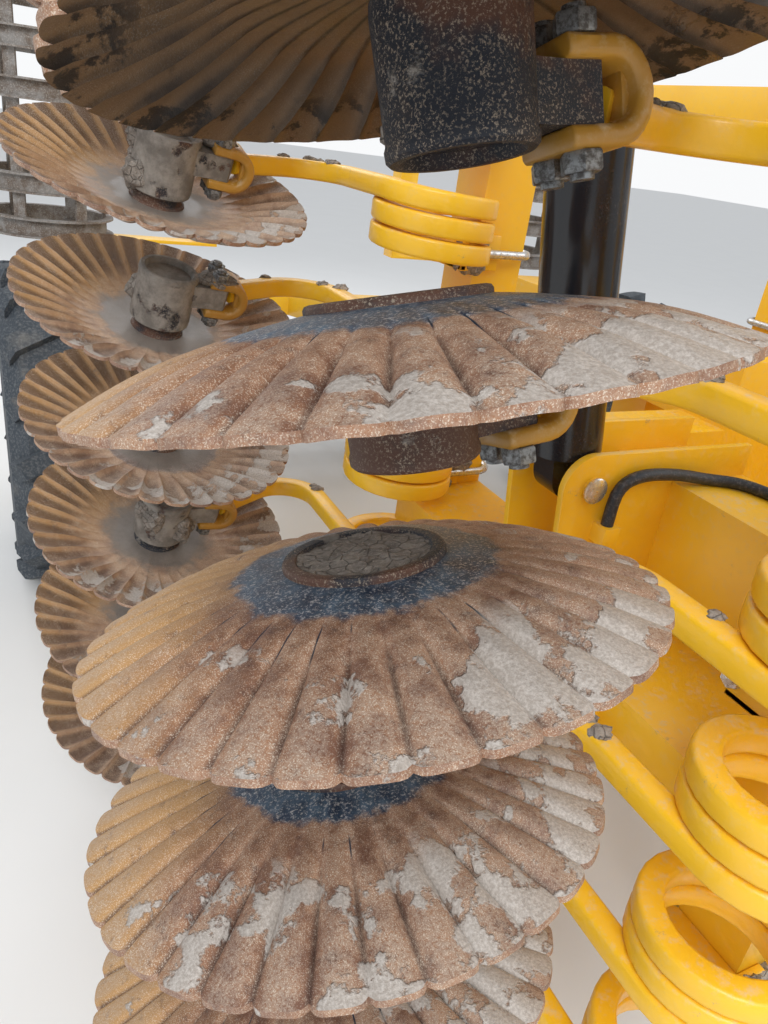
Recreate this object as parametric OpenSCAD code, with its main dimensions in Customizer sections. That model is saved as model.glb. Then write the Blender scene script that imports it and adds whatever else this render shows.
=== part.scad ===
// Trailed disc harrow with two folding wings, each disc sprung on its own coiled arm.
// +Y points forward, +X to the right, +Z up. The origin is on the ground, under the middle.
// Every wing piece is drawn in its working place and then turned up about its hinge.

/* [Discs] */
// Diameter over the flutes of a worn disc
disc_d = 576; // [520:4:600]
// Depth of the dish, from its rim to the middle
dish_depth = 62; // [50:2:74]
// Thickness of the sheet
disc_t = 7; // [5:0.5:9]
// Number of flutes pressed into a disc
flutes = 36; // [30:1:40]
// Depth of a flute's valley at the rim
flute_depth = 7.5; // [5:0.5:7.5]
// Diameter of the bolted plate in the middle of a disc
cap_d = 164; // [140:2:180]
// Height of that plate over the dish
cap_h = 8; // [4:1:12]
// Angle between a disc and the line of travel
gang_angle = 16; // [12:1:18]
// Lean of a disc from the upright
camber = 8; // [4:1:10]
// Distance between two discs of one row
disc_pitch = 250; // [250:5:280]
// Place of the outer front disc, out from the middle
outer_disc_x = 1969; // [1969:5:2100]
// Height of a disc's middle in the working position, on lifted wheels
disc_z = 479; // [470:1:490]

/* [Hubs] */
// Diameter of a bearing housing
hub_d = 120; // [110:2:130]
// Length of a bearing housing
hub_l = 112; // [100:2:116]
// Diameter of the flange between housing and disc
flange_d = 104; // [96:2:110]
// Diameter of the disc's spindle
spindle_d = 44; // [36:2:50]
// Running gap round a spindle and before a flange
run_gap = 0.9; // [0.8:0.05:0.95]

/* [Sprung arms] */
// Side of the square bar
bar = 38; // [34:1:40]
// Middle radius of the coil
coil_r = 105; // [95:1:110]
// Rise of the coil in one turn
coil_pitch = 43; // [42.5:0.5:46]
// Lean of the arm's lower part to the rear
arm_lean = 30; // [20:1:35]
// Radius of the arm's bend
bend_r = 90; // [70:2:100]
// Place of the coil's middle ahead of its disc
coil_y = 210; // [200:5:230]
// Height of the coil's middle above its disc
coil_z = 485; // [480:5:520]

/* [Wings] */
// Side of the wing's cross beams
beam = 120; // [100:5:130]
// Place of the wing's hinge, out from the middle
hinge_x = 800; // [790:5:830]
// Height of the wing's hinge
hinge_z = 879; // [870:1:900]
// Diameter of the hinge pins
hinge_pin_d = 50; // [40:2:60]
// Distance between the two rows of discs
row_gap = 1060; // [1040:10:1100]
// Place of the front row
front_row_y = 600; // [590:5:620]
// Angle of a wing at rest, 90 when folded up
fold_angle = 90; // [90]

/* [Fold cylinders] */
// Outer diameter of the barrel
barrel_d = 124; // [110:2:126]
// Diameter of the rod
rod_d = 60; // [50:2:70]
// Length of the barrel
barrel_l = 690; // [660:5:700]
// Diameter of the cylinder's pins
pin_d = 40; // [36:1:44]

/* [Running gear] */
// Diameter of a transport tyre over its lugs
tyre_d = 1170; // [1100:5:1180]
// Width of a transport tyre
tyre_w = 440; // [400:10:450]
// Height of the tread's lugs
lug_h = 28; // [24:1:34]
// Number of lugs round each half of the tread
tread_lugs = 18; // [16:1:20]
// Width of a tread lug
tread_lug_w = 62; // [56:2:66]
// Diameter of a wheel's rim
rim_d = 570; // [540:10:620]
// Distance between the middles of the two tyres
track = 2550; // [2500:10:2560]
// Place of the axle behind the origin
axle_back = 1846; // [1800:5:1860]

/* [Rollers] */
// Diameter of a roller
roller_d = 560; // [520:5:570]
// Width of one hoop
hoop_w = 78; // [60:2:90]
// Depth of a hoop's channel
hoop_depth = 38; // [30:1:44]
// Thickness of a hoop's plate
hoop_t = 8; // [6:1:10]
// Place of the rollers behind the origin
roller_back = 2820; // [2800:5:2840]
// Height of a roller's middle in the working position, on lifted wheels
roller_z = 439; // [430:1:445]

/* [Drawbar] */
// Place of the towing eye's middle ahead of the origin
eye_y = 3045; // [3000:5:3060]
// Height of the towing eye
eye_z = 520; // [480:5:560]
// Bore of the towing eye
eye_bore = 50; // [40:1:60]
// Outer diameter of the towing eye
eye_d = 110; // [100:2:130]
// Place of the parking jack behind the towing eye's middle
jack_back = 895; // [850:5:950]

/* [Hidden] */
$fn = 64;
eps = 0.01;
seat = 0.3;          // gap at a seat between two bodies
steel_yellow = [0.93, 0.68, 0.08];
steel_black = [0.07, 0.07, 0.08];
rust = [0.55, 0.35, 0.2];
rubber = [0.09, 0.09, 0.1];
mud_steel = [0.45, 0.44, 0.42];
silver = [0.75, 0.76, 0.78];

// Rows: name, place along the machine, way the discs' backs face, shift of the row
ROWS = [["front", front_row_y, 1, 0], ["rear", front_row_y - row_gap, -1, -188]];
// Sections: name, first disc from the left, how many, side of the machine
SECTIONS = [["left", 0, 7, -1], ["centre", 7, 2, 0], ["right", 9, 7, 1]];
row_discs = 16;

function row_y(row) = ROWS[row][1];
function disc_x(row, k) = outer_disc_x + ROWS[row][3] - (row_discs - 1 - k) * disc_pitch;
// discs are numbered from the middle of the machine outwards
function disc_index(s, i) =
  SECTIONS[s][3] < 0 ? SECTIONS[s][1] + SECTIONS[s][2] - i : SECTIONS[s][1] + i - 1;
function disc_name(row, s, i) = str("disc_", ROWS[row][0], "_", SECTIONS[s][0], "_", i);

DISC_NODES = [for (row = [0, 1], s = [0:2], i = [1:SECTIONS[s][2]]) disc_name(row, s, i)];

disc_r = disc_d / 2;
cap_r = cap_d / 2;
dish_r = (disc_r * disc_r + dish_depth * dish_depth) / (2 * dish_depth);
// Rings of the dish: the flutes lie on the outer one
rings = [cap_r, disc_r * 0.54, disc_r];
flute_start = 0.5;
flute_h = 20;
flute_w = 2 * flute_h;
flute_fall = atan((dish_z(rings[1]) + flute_depth) / (disc_r - rings[1]));

cap_chamfer = 4;
flange_h = 22;
hub_r = hub_d / 2;
hub_top = dish_depth - disc_t - flange_h - run_gap;
hub_mid = hub_top - hub_l * 0.66;
hub_recess_r = hub_r - 14;
hub_recess = 12;
hub_edge = 3;
hub_taper = 4;
spindle_l = hub_l * 0.6;
lug_w = 56;
lug_t = 46;
lug_reach = 122;
fork_t = 18;
fork_w = 70;
fork_back = 126;
fork_open = 76;
fork_bolt_x = 98;
fork_bolts = 38;
nut_d = 36;
nut_h = 20;

arm_x = -30;
arm_foot_z = 128;
arm_foot_y = 6;
coil_halves = 5;
tail_l = 160;
coil_low = coil_z - coil_r;
tail_z = coil_z + coil_r;
tail_x = arm_x + coil_halves * coil_pitch / 2;
straight_l = (coil_low - arm_foot_z - bend_r * (1 + sin(arm_lean))) / cos(arm_lean);
bend_y = arm_foot_y - straight_l * sin(arm_lean) + bend_r * cos(arm_lean);

// cross beams seat on the arms' tails
beam_low = disc_z + tail_z + bar / 2;
beam_z = beam_low + beam / 2;
beam_dy = coil_y - tail_l / 2;
clamp_w = 72;
clamp_t = 14;
clamp_side = 12;
clamp_lip = 50;
clamp_root = 6;
clamp_reach = 34;

// Runs of discs carried by each cross beam, from the inner tail to the outer tail
beam_end = 32;
wing_beam_out = outer_disc_x + tail_x + beam_end;

hinge_boss_r = 62;
cheek_t = 20;
clear = 5;
arm_w = 110;
hinge_rear_y = 0;
hinge_front_y = 400;
HINGES = [hinge_rear_y, hinge_front_y];
hinge_arm_h = 150;
cyl_y = (hinge_rear_y + hinge_front_y) / 2;
// Pins of the fold cylinder: place out from the middle, height, with the wing folded up
cyl_base = [635, 1240];
cyl_top = [788, 2050];
cyl_bracket_t = 14;
cyl_gap = 4;
eye_w = 56;
rod_eye_r = 42;
cross_x = 835;
cross_w = 80;
coil_gap = 8;
cross_drop = 100;
outer_x = outer_disc_x - cross_w + 25;
ear_t = 16;
pin_head = 8;

jack_d = 84;
jack_inner_d = 64;
jack_over = 100;
jack_tube_low = 90;
jack_foot_t = 16;
jack_pin_root = 5;
jack_boss_d = 90;
jack_boss_l = 60;
jack_pin_d = 44;
jack_pin_l = 40;
jack_foot = 180;
eye_h = 44;
eye_neck = 60;
eye_root = 150;
eye_plate = 130;
eye_plate_t = 24;

roller_y = -roller_back;
roller_r = roller_d / 2;
hoop_r = roller_r - hoop_depth;
spoke_r = hoop_r + hoop_t / 2;
roller_bars = 6;
roller_bar_w = 50;
roller_bar_t = 12;
roller_shaft_d = 60;
roller_hub_d = 110;
spoke_t = 10;
spoke_in = 18;
spoke_w = 46;
end_plate_t = 15;
end_plate_r = 70;
roller_beam = 100;
roller_arm_x = 1850;
centre_beam_z = 850;
// Rollers: inner and outer end plate, and how many hoops
WING_ROLLER = [1045, 2040, 6];
CENTRE_ROLLER = [-965, 965, 12];

wheel_r = tyre_d / 2;
carcass_r = wheel_r - lug_h;
tyre_sides = 36;
shoulder = 40;
lug_root = 12;
lug_gap = 8;
lug_skew = 28;
axle_y = -axle_back;
axle_d = 110;

// A wing piece is turned up about its hinge: side is 1 on the right and -1 on the left
module folded(side) {
  translate([side * hinge_x, 0, hinge_z]) rotate([0, -side * fold_angle, 0])
    translate([-side * hinge_x, 0, -hinge_z]) children();
}

module in_section(s) {
  side = SECTIONS[s][3];
  if (side == 0) children();
  else folded(side) children();
}

// Height of the dish's outer face over the rim's plane
function dish_z(r) = sqrt(dish_r * dish_r - r * r) - (dish_r - dish_depth);

// A disc's axis is turned to its gang angle and camber, and its back faces +X
module at_disc(row, k) {
  translate([disc_x(row, k), row_y(row), disc_z]) mirror([ROWS[row][2] < 0 ? 1 : 0, 0, 0]) children();
}

module tilted() {
  rotate([0, 0, -gang_angle]) rotate([0, camber, 0]) rotate([0, 90, 0]) children();
}

module disc_shape() {
  cap_z = dish_z(cap_r) + cap_h;
  flange_z = dish_z(flange_d / 2) - disc_t;
  outline = concat([[0, cap_z], [cap_r - cap_chamfer, cap_z], [cap_r, cap_z - cap_chamfer]],
    [for (r = rings) [r, dish_z(r)]], [for (i = [len(rings) - 1:-1:0]) [rings[i], dish_z(rings[i]) - disc_t]],
    [[flange_d / 2, flange_z], [flange_d / 2, hub_top + run_gap], [spindle_d / 2, hub_top + run_gap],
     [spindle_d / 2, hub_top - spindle_l], [0, hub_top - spindle_l]]);
  difference() {
    rotate_extrude($fn = 128) polygon(outline);
    for (i = [0:flutes - 1]) rotate([0, 0, (i + 0.5) * 360 / flutes])
      translate([rings[1], 0, dish_z(rings[1])]) rotate([0, flute_fall, 0]) rotate([90, 0, 90])
        linear_extrude(disc_r) polygon([[0, flute_start], [flute_w, flute_start + flute_h],
          [-flute_w, flute_start + flute_h]]);
  }
}

module disc(row, s, i) {
  color(rust) in_section(s) at_disc(row, disc_index(s, i)) tilted() disc_shape();
}

module hub_housing() {
  bore_r = spindle_d / 2 + run_gap;
  bore_z = hub_top - spindle_l - run_gap;
  hub_low = hub_top - hub_l;
  rotate_extrude() polygon([[bore_r, hub_top], [hub_r - hub_edge, hub_top], [hub_r, hub_top - hub_edge],
    [hub_r - hub_taper, hub_low], [hub_recess_r, hub_low], [hub_recess_r, hub_low + hub_recess],
    [0, hub_low + hub_recess], [0, bore_z], [bore_r, bore_z]]);
  translate([-lug_reach, -lug_w / 2, hub_mid - lug_t / 2]) cube([lug_reach - hub_recess_r, lug_w, lug_t]);
}

// Two cheeks over the housing's lug, joined by a round back at the bar's end
module fork() {
  half = lug_t / 2 + fork_t;
  translate([0, fork_w / 2, hub_mid]) rotate([90, 0, 0]) linear_extrude(fork_w) difference() {
    union() {
      translate([-fork_back, 0]) circle(half);
      translate([-fork_back, -half]) square([fork_back - fork_open, 2 * half]);
    }
    translate([-fork_back, 0]) circle(lug_t / 2);
    translate([-fork_back, -lug_t / 2]) square([fork_back, lug_t]);
  }
  for (y = [-1, 1] * fork_bolts / 2) translate([-fork_bolt_x, y, hub_mid - half - nut_h])
    cylinder(h = 2 * (half + nut_h), d = nut_d, $fn = 6);
}

// An arc of the square bar in the plane across the coil's axis, angles from +Y towards +Z
module bar_arc(r, from, to) {
  rotate([90, 0, 90]) rotate([0, 0, from]) rotate_extrude(angle = to - from)
    translate([r, 0]) square(bar, center = true);
}

module bar_straight(y, z, lean, length) {
  translate([arm_x, y, z]) rotate([lean, 0, 0])
    translate([-bar / 2, -bar / 2, 0]) cube([bar, bar, length]);
}

// The coil is made of half turns, each tilted so that it rises half a pitch
module coil() {
  rise = coil_pitch / 2;
  tilt = asin(rise / 2 / coil_r);
  for (i = [0:coil_halves - 1])
    translate([arm_x + (i + 0.5) * rise, coil_y, coil_z]) rotate([0, i % 2 == 0 ? tilt : -tilt, 0])
      bar_arc(coil_r, 180 * i - 90, 180 * i + 90);
}

// The clamp is a cradle under the tail, with a lip on the front face of the cross beam
module clamp() {
  low = tail_z - bar / 2 - clamp_t;
  high = tail_z + bar / 2;
  rear = beam_dy - beam / 2;
  front = beam_dy + beam / 2;
  translate([tail_x, 0, 0]) {
    translate([-clamp_w / 2, rear - clamp_reach, low]) cube([clamp_w, beam + 2 * clamp_reach, clamp_t + eps]);
    for (x = [-clamp_w / 2, clamp_w / 2 - clamp_side])
      translate([x, 0, 0]) rotate([90, 0, 90]) linear_extrude(clamp_side)
        polygon([[rear - clamp_reach, low], [front + clamp_reach, low], [front + clamp_reach, low + clamp_t],
          [front + clamp_t, high], [rear, high], [rear - clamp_reach, low + clamp_t]]);
    translate([-clamp_w / 2, front, high - clamp_root]) cube([clamp_w, clamp_t, clamp_lip + clamp_root]);
  }
}

module arm() {
  tilted() {
    hub_housing();
    fork();
  }
  bar_straight(arm_foot_y, arm_foot_z, arm_lean, straight_l);
  translate([arm_x, bend_y, coil_low - bend_r]) bar_arc(bend_r, 90, 180 + arm_lean);
  translate([arm_x - bar / 2, bend_y, coil_low - bar / 2]) cube([bar, coil_y - bend_y, bar]);
  coil();
  translate([tail_x - bar / 2, coil_y - tail_l, tail_z - bar / 2]) cube([bar, tail_l, bar]);
  clamp();
}

module arms(row, s) {
  color(steel_yellow) in_section(s)
    for (i = [1:SECTIONS[s][2]]) at_disc(row, disc_index(s, i)) arm();
}

module box_between(low, high) {
  translate(low) cube(high - low);
}

// Inner end of a wing's cross beam, beside the inner arm's tail
function beam_in(row, side) =
  let (s = side > 0 ? 2 : 0, x = disc_x(row, disc_index(s, 1)) + ROWS[row][2] * tail_x)
    abs(x) - beam_end - (side * ROWS[row][2] > 0 ? coil_halves * coil_pitch / 2 - bar : 0);

module cheek(y) {
  translate([0, y + cheek_t, 0]) rotate([90, 0, 0]) linear_extrude(cheek_t) difference() {
    union() {
      translate([hinge_x, hinge_z]) circle(hinge_boss_r);
      polygon([[hinge_x - hinge_boss_r * 0.9, hinge_z + 20], [cross_x, beam_z + beam / 2],
        [cross_x + cross_w, beam_z + beam / 2], [cross_x + cross_w, beam_z - beam],
        [hinge_x + 20, hinge_z - hinge_boss_r * 0.9]]);
    }
    translate([hinge_x, hinge_z]) circle(hinge_pin_d / 2);
  }
}

// Ear for the rod's eye, hanging from the outer cross member
module rod_ear(y) {
  pin = [hinge_x + cyl_top[1] - hinge_z, hinge_z + hinge_x - cyl_top[0]];
  translate([0, y + ear_t, 0]) rotate([90, 0, 0]) linear_extrude(ear_t) union() {
    translate(pin) circle(rod_eye_r);
    polygon([[pin[0] - rod_eye_r, pin[1]], [outer_x - 20, beam_low + 20],
      [outer_x + cross_w, beam_low + 20], [pin[0] + rod_eye_r, pin[1]]]);
  }
  head_y = y < cyl_y ? y : y + ear_t;
  translate([pin[0], head_y, pin[1]]) rotate([90, 0, 0])
    cylinder(h = 2 * pin_head, d = pin_d * 1.3, center = true);
}

module wing_frame_shape(side) {
  low = beam_low;
  high = beam_low + beam;
  for (row = [0, 1]) let (y = row_y(row) + beam_dy)
    box_between([beam_in(row, side), y - beam / 2, low], [wing_beam_out, y + beam / 2, high]);
  rear = row_y(1) + beam_dy + beam / 2 - eps;
  front = row_y(0) + beam_dy - beam / 2 + eps;
  // outer cross member, clear of the coils that lie under it
  box_between([outer_x, rear, low + coil_gap], [outer_x + cross_w, front, high]);
  // inner cross member, open between the hinges where the cylinder passes
  inner = [hinge_rear_y + arm_w / 2 + clear, hinge_front_y - arm_w / 2 - clear - cheek_t];
  box_between([cross_x, rear, low - cross_drop], [cross_x + cross_w, inner[0] + cheek_t, high]);
  box_between([cross_x, inner[1], low - cross_drop], [cross_x + cross_w, front, high]);
  box_between([cross_x, inner[0], hinge_z + 10],
    [cross_x + cross_w, inner[1] + cheek_t, hinge_z + 100]);
  for (y = HINGES) {
    cheek(y - arm_w / 2 - clear - cheek_t);
    cheek(y + arm_w / 2 + clear);
  }
  for (y = [cyl_y - eye_w / 2 - cyl_gap / 2 - ear_t, cyl_y + eye_w / 2 + cyl_gap / 2]) rod_ear(y);
  // roller arm, roller beam and end plates
  rb = roller_beam / 2;
  box_between([roller_arm_x - rb, roller_y, beam_z - rb],
    [roller_arm_x + rb, row_y(1) + beam_dy, beam_z + rb]);
  roller_frame(WING_ROLLER, beam_z);
}

module roller_frame(table, beam_at) {
  rb = roller_beam / 2;
  box_between([table[0], roller_y - rb, beam_at - rb], [table[1], roller_y + rb, beam_at + rb]);
  for (x = [table[0], table[1] - end_plate_t])
    translate([x, 0, 0]) rotate([90, 0, 90]) linear_extrude(end_plate_t) difference() {
      end_plate(beam_at);
      translate([roller_y, roller_z]) circle(roller_shaft_d / 2 + run_gap);
    }
}

module end_plate(beam_at) {
  translate([roller_y, roller_z]) circle(end_plate_r);
  polygon([[roller_y - end_plate_r, roller_z], [roller_y - roller_beam / 2, beam_at],
    [roller_y + roller_beam / 2, beam_at], [roller_y + end_plate_r, roller_z]]);
}

module wing_frame(side) {
  color(steel_yellow) folded(side) mirror([side < 0 ? 1 : 0, 0, 0]) wing_frame_shape(side);
}

// Roller of hoops on a cage of bars, with a shaft end in each end plate
module roller(table) {
  inner = table[0] + end_plate_t + clear;
  outer = table[1] - end_plate_t - clear;
  pitch = (outer - inner - hoop_w) / (table[2] - 1);
  translate([0, roller_y, roller_z]) rotate([0, 90, 0]) {
    for (i = [0:table[2] - 1]) translate([0, 0, inner + i * pitch]) rotate_extrude($fn = 96)
      polygon([[hoop_r, 0], [roller_r, 0], [roller_r, hoop_t], [hoop_r + hoop_t, hoop_t],
        [hoop_r + hoop_t, hoop_w - hoop_t], [roller_r, hoop_w - hoop_t], [roller_r, hoop_w], [hoop_r, hoop_w]]);
    for (i = [0:roller_bars - 1]) rotate([0, 0, i * 360 / roller_bars])
      translate([hoop_r + hoop_t / 2 - roller_bar_t, -roller_bar_w / 2, inner])
        cube([roller_bar_t, roller_bar_w, outer - inner]);
    for (z = [inner + spoke_in, outer - spoke_in - spoke_t]) translate([0, 0, z]) {
      for (i = [0:roller_bars / 2 - 1]) rotate([0, 0, i * 360 / roller_bars])
        translate([-spoke_r, -spoke_w / 2, 0]) cube([2 * spoke_r, spoke_w, spoke_t]);
      translate([0, 0, -spoke_t / 2]) cylinder(h = 2 * spoke_t, d = roller_hub_d);
    }
    translate([0, 0, table[0]])
      cylinder(h = inner - table[0] + spoke_in + spoke_t, d = roller_shaft_d);
    translate([0, 0, outer - spoke_in - spoke_t])
      cylinder(h = table[1] - outer + spoke_in + spoke_t, d = roller_shaft_d);
  }
}

module wing_roller(side) {
  color(mud_steel) folded(side) mirror([side < 0 ? 1 : 0, 0, 0]) roller(WING_ROLLER);
}

module centre_roller() {
  color(mud_steel) roller(CENTRE_ROLLER);
}

// The fold cylinder lies along the line between its two pins, drawn upright and then leaned
cyl_vector = cyl_top - cyl_base;
cyl_l = norm(cyl_vector);
cyl_lean = atan2(cyl_vector[0], cyl_vector[1]);
barrel_foot = 46;
barrel_eye_d = barrel_d * 0.7;
rod_foot = barrel_foot + 21;

module at_cylinder(side) {
  mirror([side < 0 ? 1 : 0, 0, 0])
    translate([cyl_base[0], cyl_y, cyl_base[1]]) rotate([0, cyl_lean, 0]) children();
}

module fold_barrel(side) {
  color(steel_black) at_cylinder(side) difference() {
    union() {
      translate([0, 0, barrel_foot]) cylinder(h = barrel_l - barrel_foot, d = barrel_d);
      rotate([90, 0, 0]) cylinder(h = eye_w, d = barrel_eye_d, center = true);
      translate([-barrel_eye_d / 2, -eye_w / 2, 0]) cube([barrel_eye_d, eye_w, barrel_foot + 10]);
    }
    rotate([90, 0, 0]) cylinder(h = 2 * eye_w, d = pin_d + 2 * seat, center = true);
    translate([0, 0, rod_foot - 1]) cylinder(h = barrel_l, d = rod_d + 2 * seat);
  }
}

module fold_rod(side) {
  color(silver) at_cylinder(side) {
    translate([0, 0, rod_foot]) cylinder(h = cyl_l - rod_foot - rod_eye_r * 0.6, d = rod_d);
    translate([0, 0, cyl_l]) rotate([90, 0, 0]) cylinder(h = eye_w, r = rod_eye_r, center = true);
  }
}

// Central frame: two side rails, two cross boxes, hinge arms, cylinder brackets and the rows' stubs
rail_in = 270;
rail_out = 450;
frame_low = 900;
frame_high = 1240;
frame_rear = -70;
frame_front = 560;
cross_box = 140;
hose_d = 22;
hose_sides = 10;
port_w = 34;
port_x = cyl_base[0] - 39;
port_y = cyl_y + 97;
port_z = cyl_base[1] - 98;
neck_w = 180;
neck_h = 170;
neck_over = 120;
neck_low = beam_low + beam + 16;

module hinge_arm(y) {
  half = arm_w / 2;
  for (side = [-1, 1]) mirror([side < 0 ? 1 : 0, 0, 0]) {
    box_between([rail_in, y - half, hinge_z - 90], [hinge_x, y + half, hinge_z + 24]);
    translate([hinge_x, y, hinge_z]) rotate([90, 0, 0]) cylinder(h = arm_w, r = hinge_boss_r, center = true);
    // the pin stands out of the boss into the wing's cheeks
    translate([hinge_x, y, hinge_z]) rotate([90, 0, 0])
      cylinder(h = arm_w + 2 * (clear + cheek_t + 8), d = hinge_pin_d - 2 * seat, center = true);
  }
}

module cylinder_bracket(y) {
  translate([0, y + cyl_bracket_t, 0]) rotate([90, 0, 0]) linear_extrude(cyl_bracket_t) union() {
    translate(cyl_base) circle(60);
    polygon([[rail_in, frame_low], [rail_in, frame_high + 60], [cyl_base[0], cyl_base[1] + 60],
      [cyl_base[0] + 60, cyl_base[1]], [cyl_base[0] + 20, hinge_z + 40], [hinge_x - 140, hinge_z - 20],
      [rail_out, frame_low]]);
  }
}

module rail() {
  box_between([rail_in, frame_rear, frame_low], [rail_out, frame_front, frame_high]);
}

// A bracket of two plates on each rail, with the cylinder's pin and the port of its hose
module cylinder_brackets() {
  reach = barrel_d / 2 + cyl_gap;
  color(steel_yellow) for (side = [-1, 1]) mirror([side < 0 ? 1 : 0, 0, 0]) {
    difference() {
      union() {
        cylinder_bracket(cyl_y - reach - cyl_bracket_t);
        cylinder_bracket(cyl_y + reach);
      }
      rail();
    }
    translate([cyl_base[0], cyl_y, cyl_base[1]]) rotate([90, 0, 0])
      cylinder(h = 2 * (reach + cyl_bracket_t + 12), d = pin_d, center = true);
    box_between([port_x - port_w / 2, cyl_y + reach + cyl_bracket_t - 1, port_z],
      [port_x + port_w / 2, port_y + port_w / 2, port_z + port_w]);
  }
}

module centre_frame() {
  color(steel_yellow) {
    for (side = [-1, 1]) mirror([side < 0 ? 1 : 0, 0, 0]) rail();
    for (y = [frame_rear, frame_front - cross_box])
      box_between([-rail_in - eps, y, frame_low], [rail_in + eps, y + cross_box, frame_high]);
    for (y = HINGES) hinge_arm(y);
    // necks over both rows, with the stubs that carry the middle arms
    for (row = [0, 1]) let (y = row_y(row) + beam_dy, s = 1, way = ROWS[row][2]) {
      ends = [for (i = [1, 2]) disc_x(row, disc_index(s, i)) + way * tail_x];
      box_between([min(ends) - beam_end, y - beam / 2, beam_low],
        [max(ends) + beam_end, y + beam / 2, beam_low + beam]);
      box_between([-60, y - beam / 2, beam_low + beam - 10], [60, y + beam / 2, neck_low + 10]);
    }
    rotate([90, 0, 90]) translate([0, 0, -neck_w / 2]) linear_extrude(neck_w) {
      polygon([[frame_rear + cross_box, frame_high - 100], [frame_rear + cross_box, neck_low + neck_h],
        [row_y(1) - neck_over, neck_low + neck_h], [row_y(1) - neck_over, neck_low],
        [frame_rear - 40, neck_low], [frame_rear, frame_high - 100]]);
      polygon([[frame_front - cross_box, frame_high - 100], [frame_front, frame_high - 100],
        [frame_front + 40, neck_low], [row_y(0) + 420, neck_low], [row_y(0) + 420, neck_low + neck_h],
        [frame_front - cross_box, neck_low + neck_h]]);
    }
  }
}

// Cuts the corners of a route, and keeps its two ends
function eased(p) = concat([p[0]], [for (i = [0:len(p) - 2], t = [0.25, 0.75])
  if (i + t > 0.5 && i + t < len(p) - 1.5) p[i] * (1 - t) + p[i + 1] * t], [p[len(p) - 1]]);

// A round tube along a route that never runs straight along Y
module tube(route, d, sides) {
  n = len(route);
  way = [for (i = [0:n - 1]) let (v = route[min(i + 1, n - 1)] - route[max(i - 1, 0)]) v / norm(v)];
  rings = [for (i = [0:n - 1], j = [0:sides - 1])
    let (a = j * 360 / sides, across = [-way[i][2], 0, way[i][0]] / norm([way[i][2], way[i][0]]),
      up = cross(way[i], across))
      route[i] + (across * cos(a) + up * sin(a)) * d / 2];
  polyhedron(points = rings, faces = concat([[for (j = [0:sides - 1]) j]],
    [for (i = [0:n - 2], j = [0:sides - 1], half = [0, 1])
      let (a = i * sides + j, b = i * sides + (j + 1) % sides)
        half == 0 ? [b, a, a + sides] : [b, a + sides, b + sides]],
    [[for (j = [sides - 1:-1:0]) (n - 1) * sides + j]]));
}

// A hose from each cylinder's port lies over the side rail and ends in the front neck
module hose(side) {
  top = frame_high + hose_d / 2;
  end_y = frame_front - cross_box / 2;
  route = [[port_x, port_y, port_z + port_w], [port_x, port_y, frame_high + 4],
    [port_x - 42, port_y, frame_high + 27], [rail_out + 20, port_y + 2, frame_high + 24],
    [rail_out - 50, port_y + 6, top], [rail_out - 110, port_y + 34, top],
    [rail_in + 48, port_y + 92, top], [rail_in + 18, end_y - 40, top],
    [rail_in - 44, end_y - 4, top], [neck_w / 2 + 60, end_y, top], [neck_w / 2, end_y, top]];
  color(steel_black) mirror([side < 0 ? 1 : 0, 0, 0]) tube(eased(eased(route)), hose_d, hose_sides);
}

// The drawbar slopes from the front neck down to the eye, and the jack's pin is on its middle line
neck_front = row_y(0) + 420;
slope_from = [neck_front + 200, neck_low + neck_h / 2];
slope_to = [eye_y - 470, eye_z + 10];
slope_way = slope_to - slope_from;
slope_half = 50;
bar_end_h = 70;
jack_y = eye_y - jack_back;
jack_z = slope_from[1] + slope_way[1] * (jack_y - slope_from[0]) / slope_way[0];

module drawbar() {
  color(steel_yellow) {
    rotate([90, 0, 90]) translate([0, 0, -neck_w / 2]) linear_extrude(neck_w)
      polygon([[neck_front, neck_low], [neck_front, neck_low + neck_h],
        [slope_from[0] + slope_half, neck_low + neck_h],
        [slope_to[0] + slope_half, slope_to[1] + bar_end_h + 10],
        [eye_y - eye_root, eye_z + bar_end_h], [eye_y - eye_root, eye_z - bar_end_h],
        [slope_to[0] - slope_half, eye_z - bar_end_h], [slope_from[0] - slope_half, neck_low]]);
    translate([neck_w / 2 - jack_pin_root, jack_y, jack_z]) rotate([0, 90, 0])
      cylinder(h = jack_pin_l + jack_pin_root, d = jack_pin_d);
  }
}

module towing_eye() {
  color(steel_black) difference() {
    union() {
      translate([0, eye_y, eye_z]) cylinder(h = eye_h, d = eye_d, center = true);
      translate([-eye_neck / 2, eye_y - eye_root + 10, eye_z - eye_h / 2])
        cube([eye_neck, eye_root - 10 - eye_d * 0.4, eye_h]);
      translate([-eye_plate / 2, eye_y - eye_root, eye_z - eye_plate / 2])
        cube([eye_plate, eye_plate_t, eye_plate]);
    }
    translate([0, eye_y, eye_z]) cylinder(h = 2 * eye_h, d = eye_bore, center = true);
  }
}

// Rear frame: from the rear neck down to the axle, and back to the middle roller
rear_high = 1190;
rear_tube = 160;
neck_rear = row_y(1) - neck_over;
rear_bend = neck_rear - 260;
rear_knee = neck_rear - 560;
// the tube that carries the axle's arms, from its front to its rear face
axle_tube = [neck_rear - 500, neck_rear - 640];
axle_arm_x = 420;
axle_arm_t = 100;
axle_end_d = 60;
axle_clip = 60;

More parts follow.
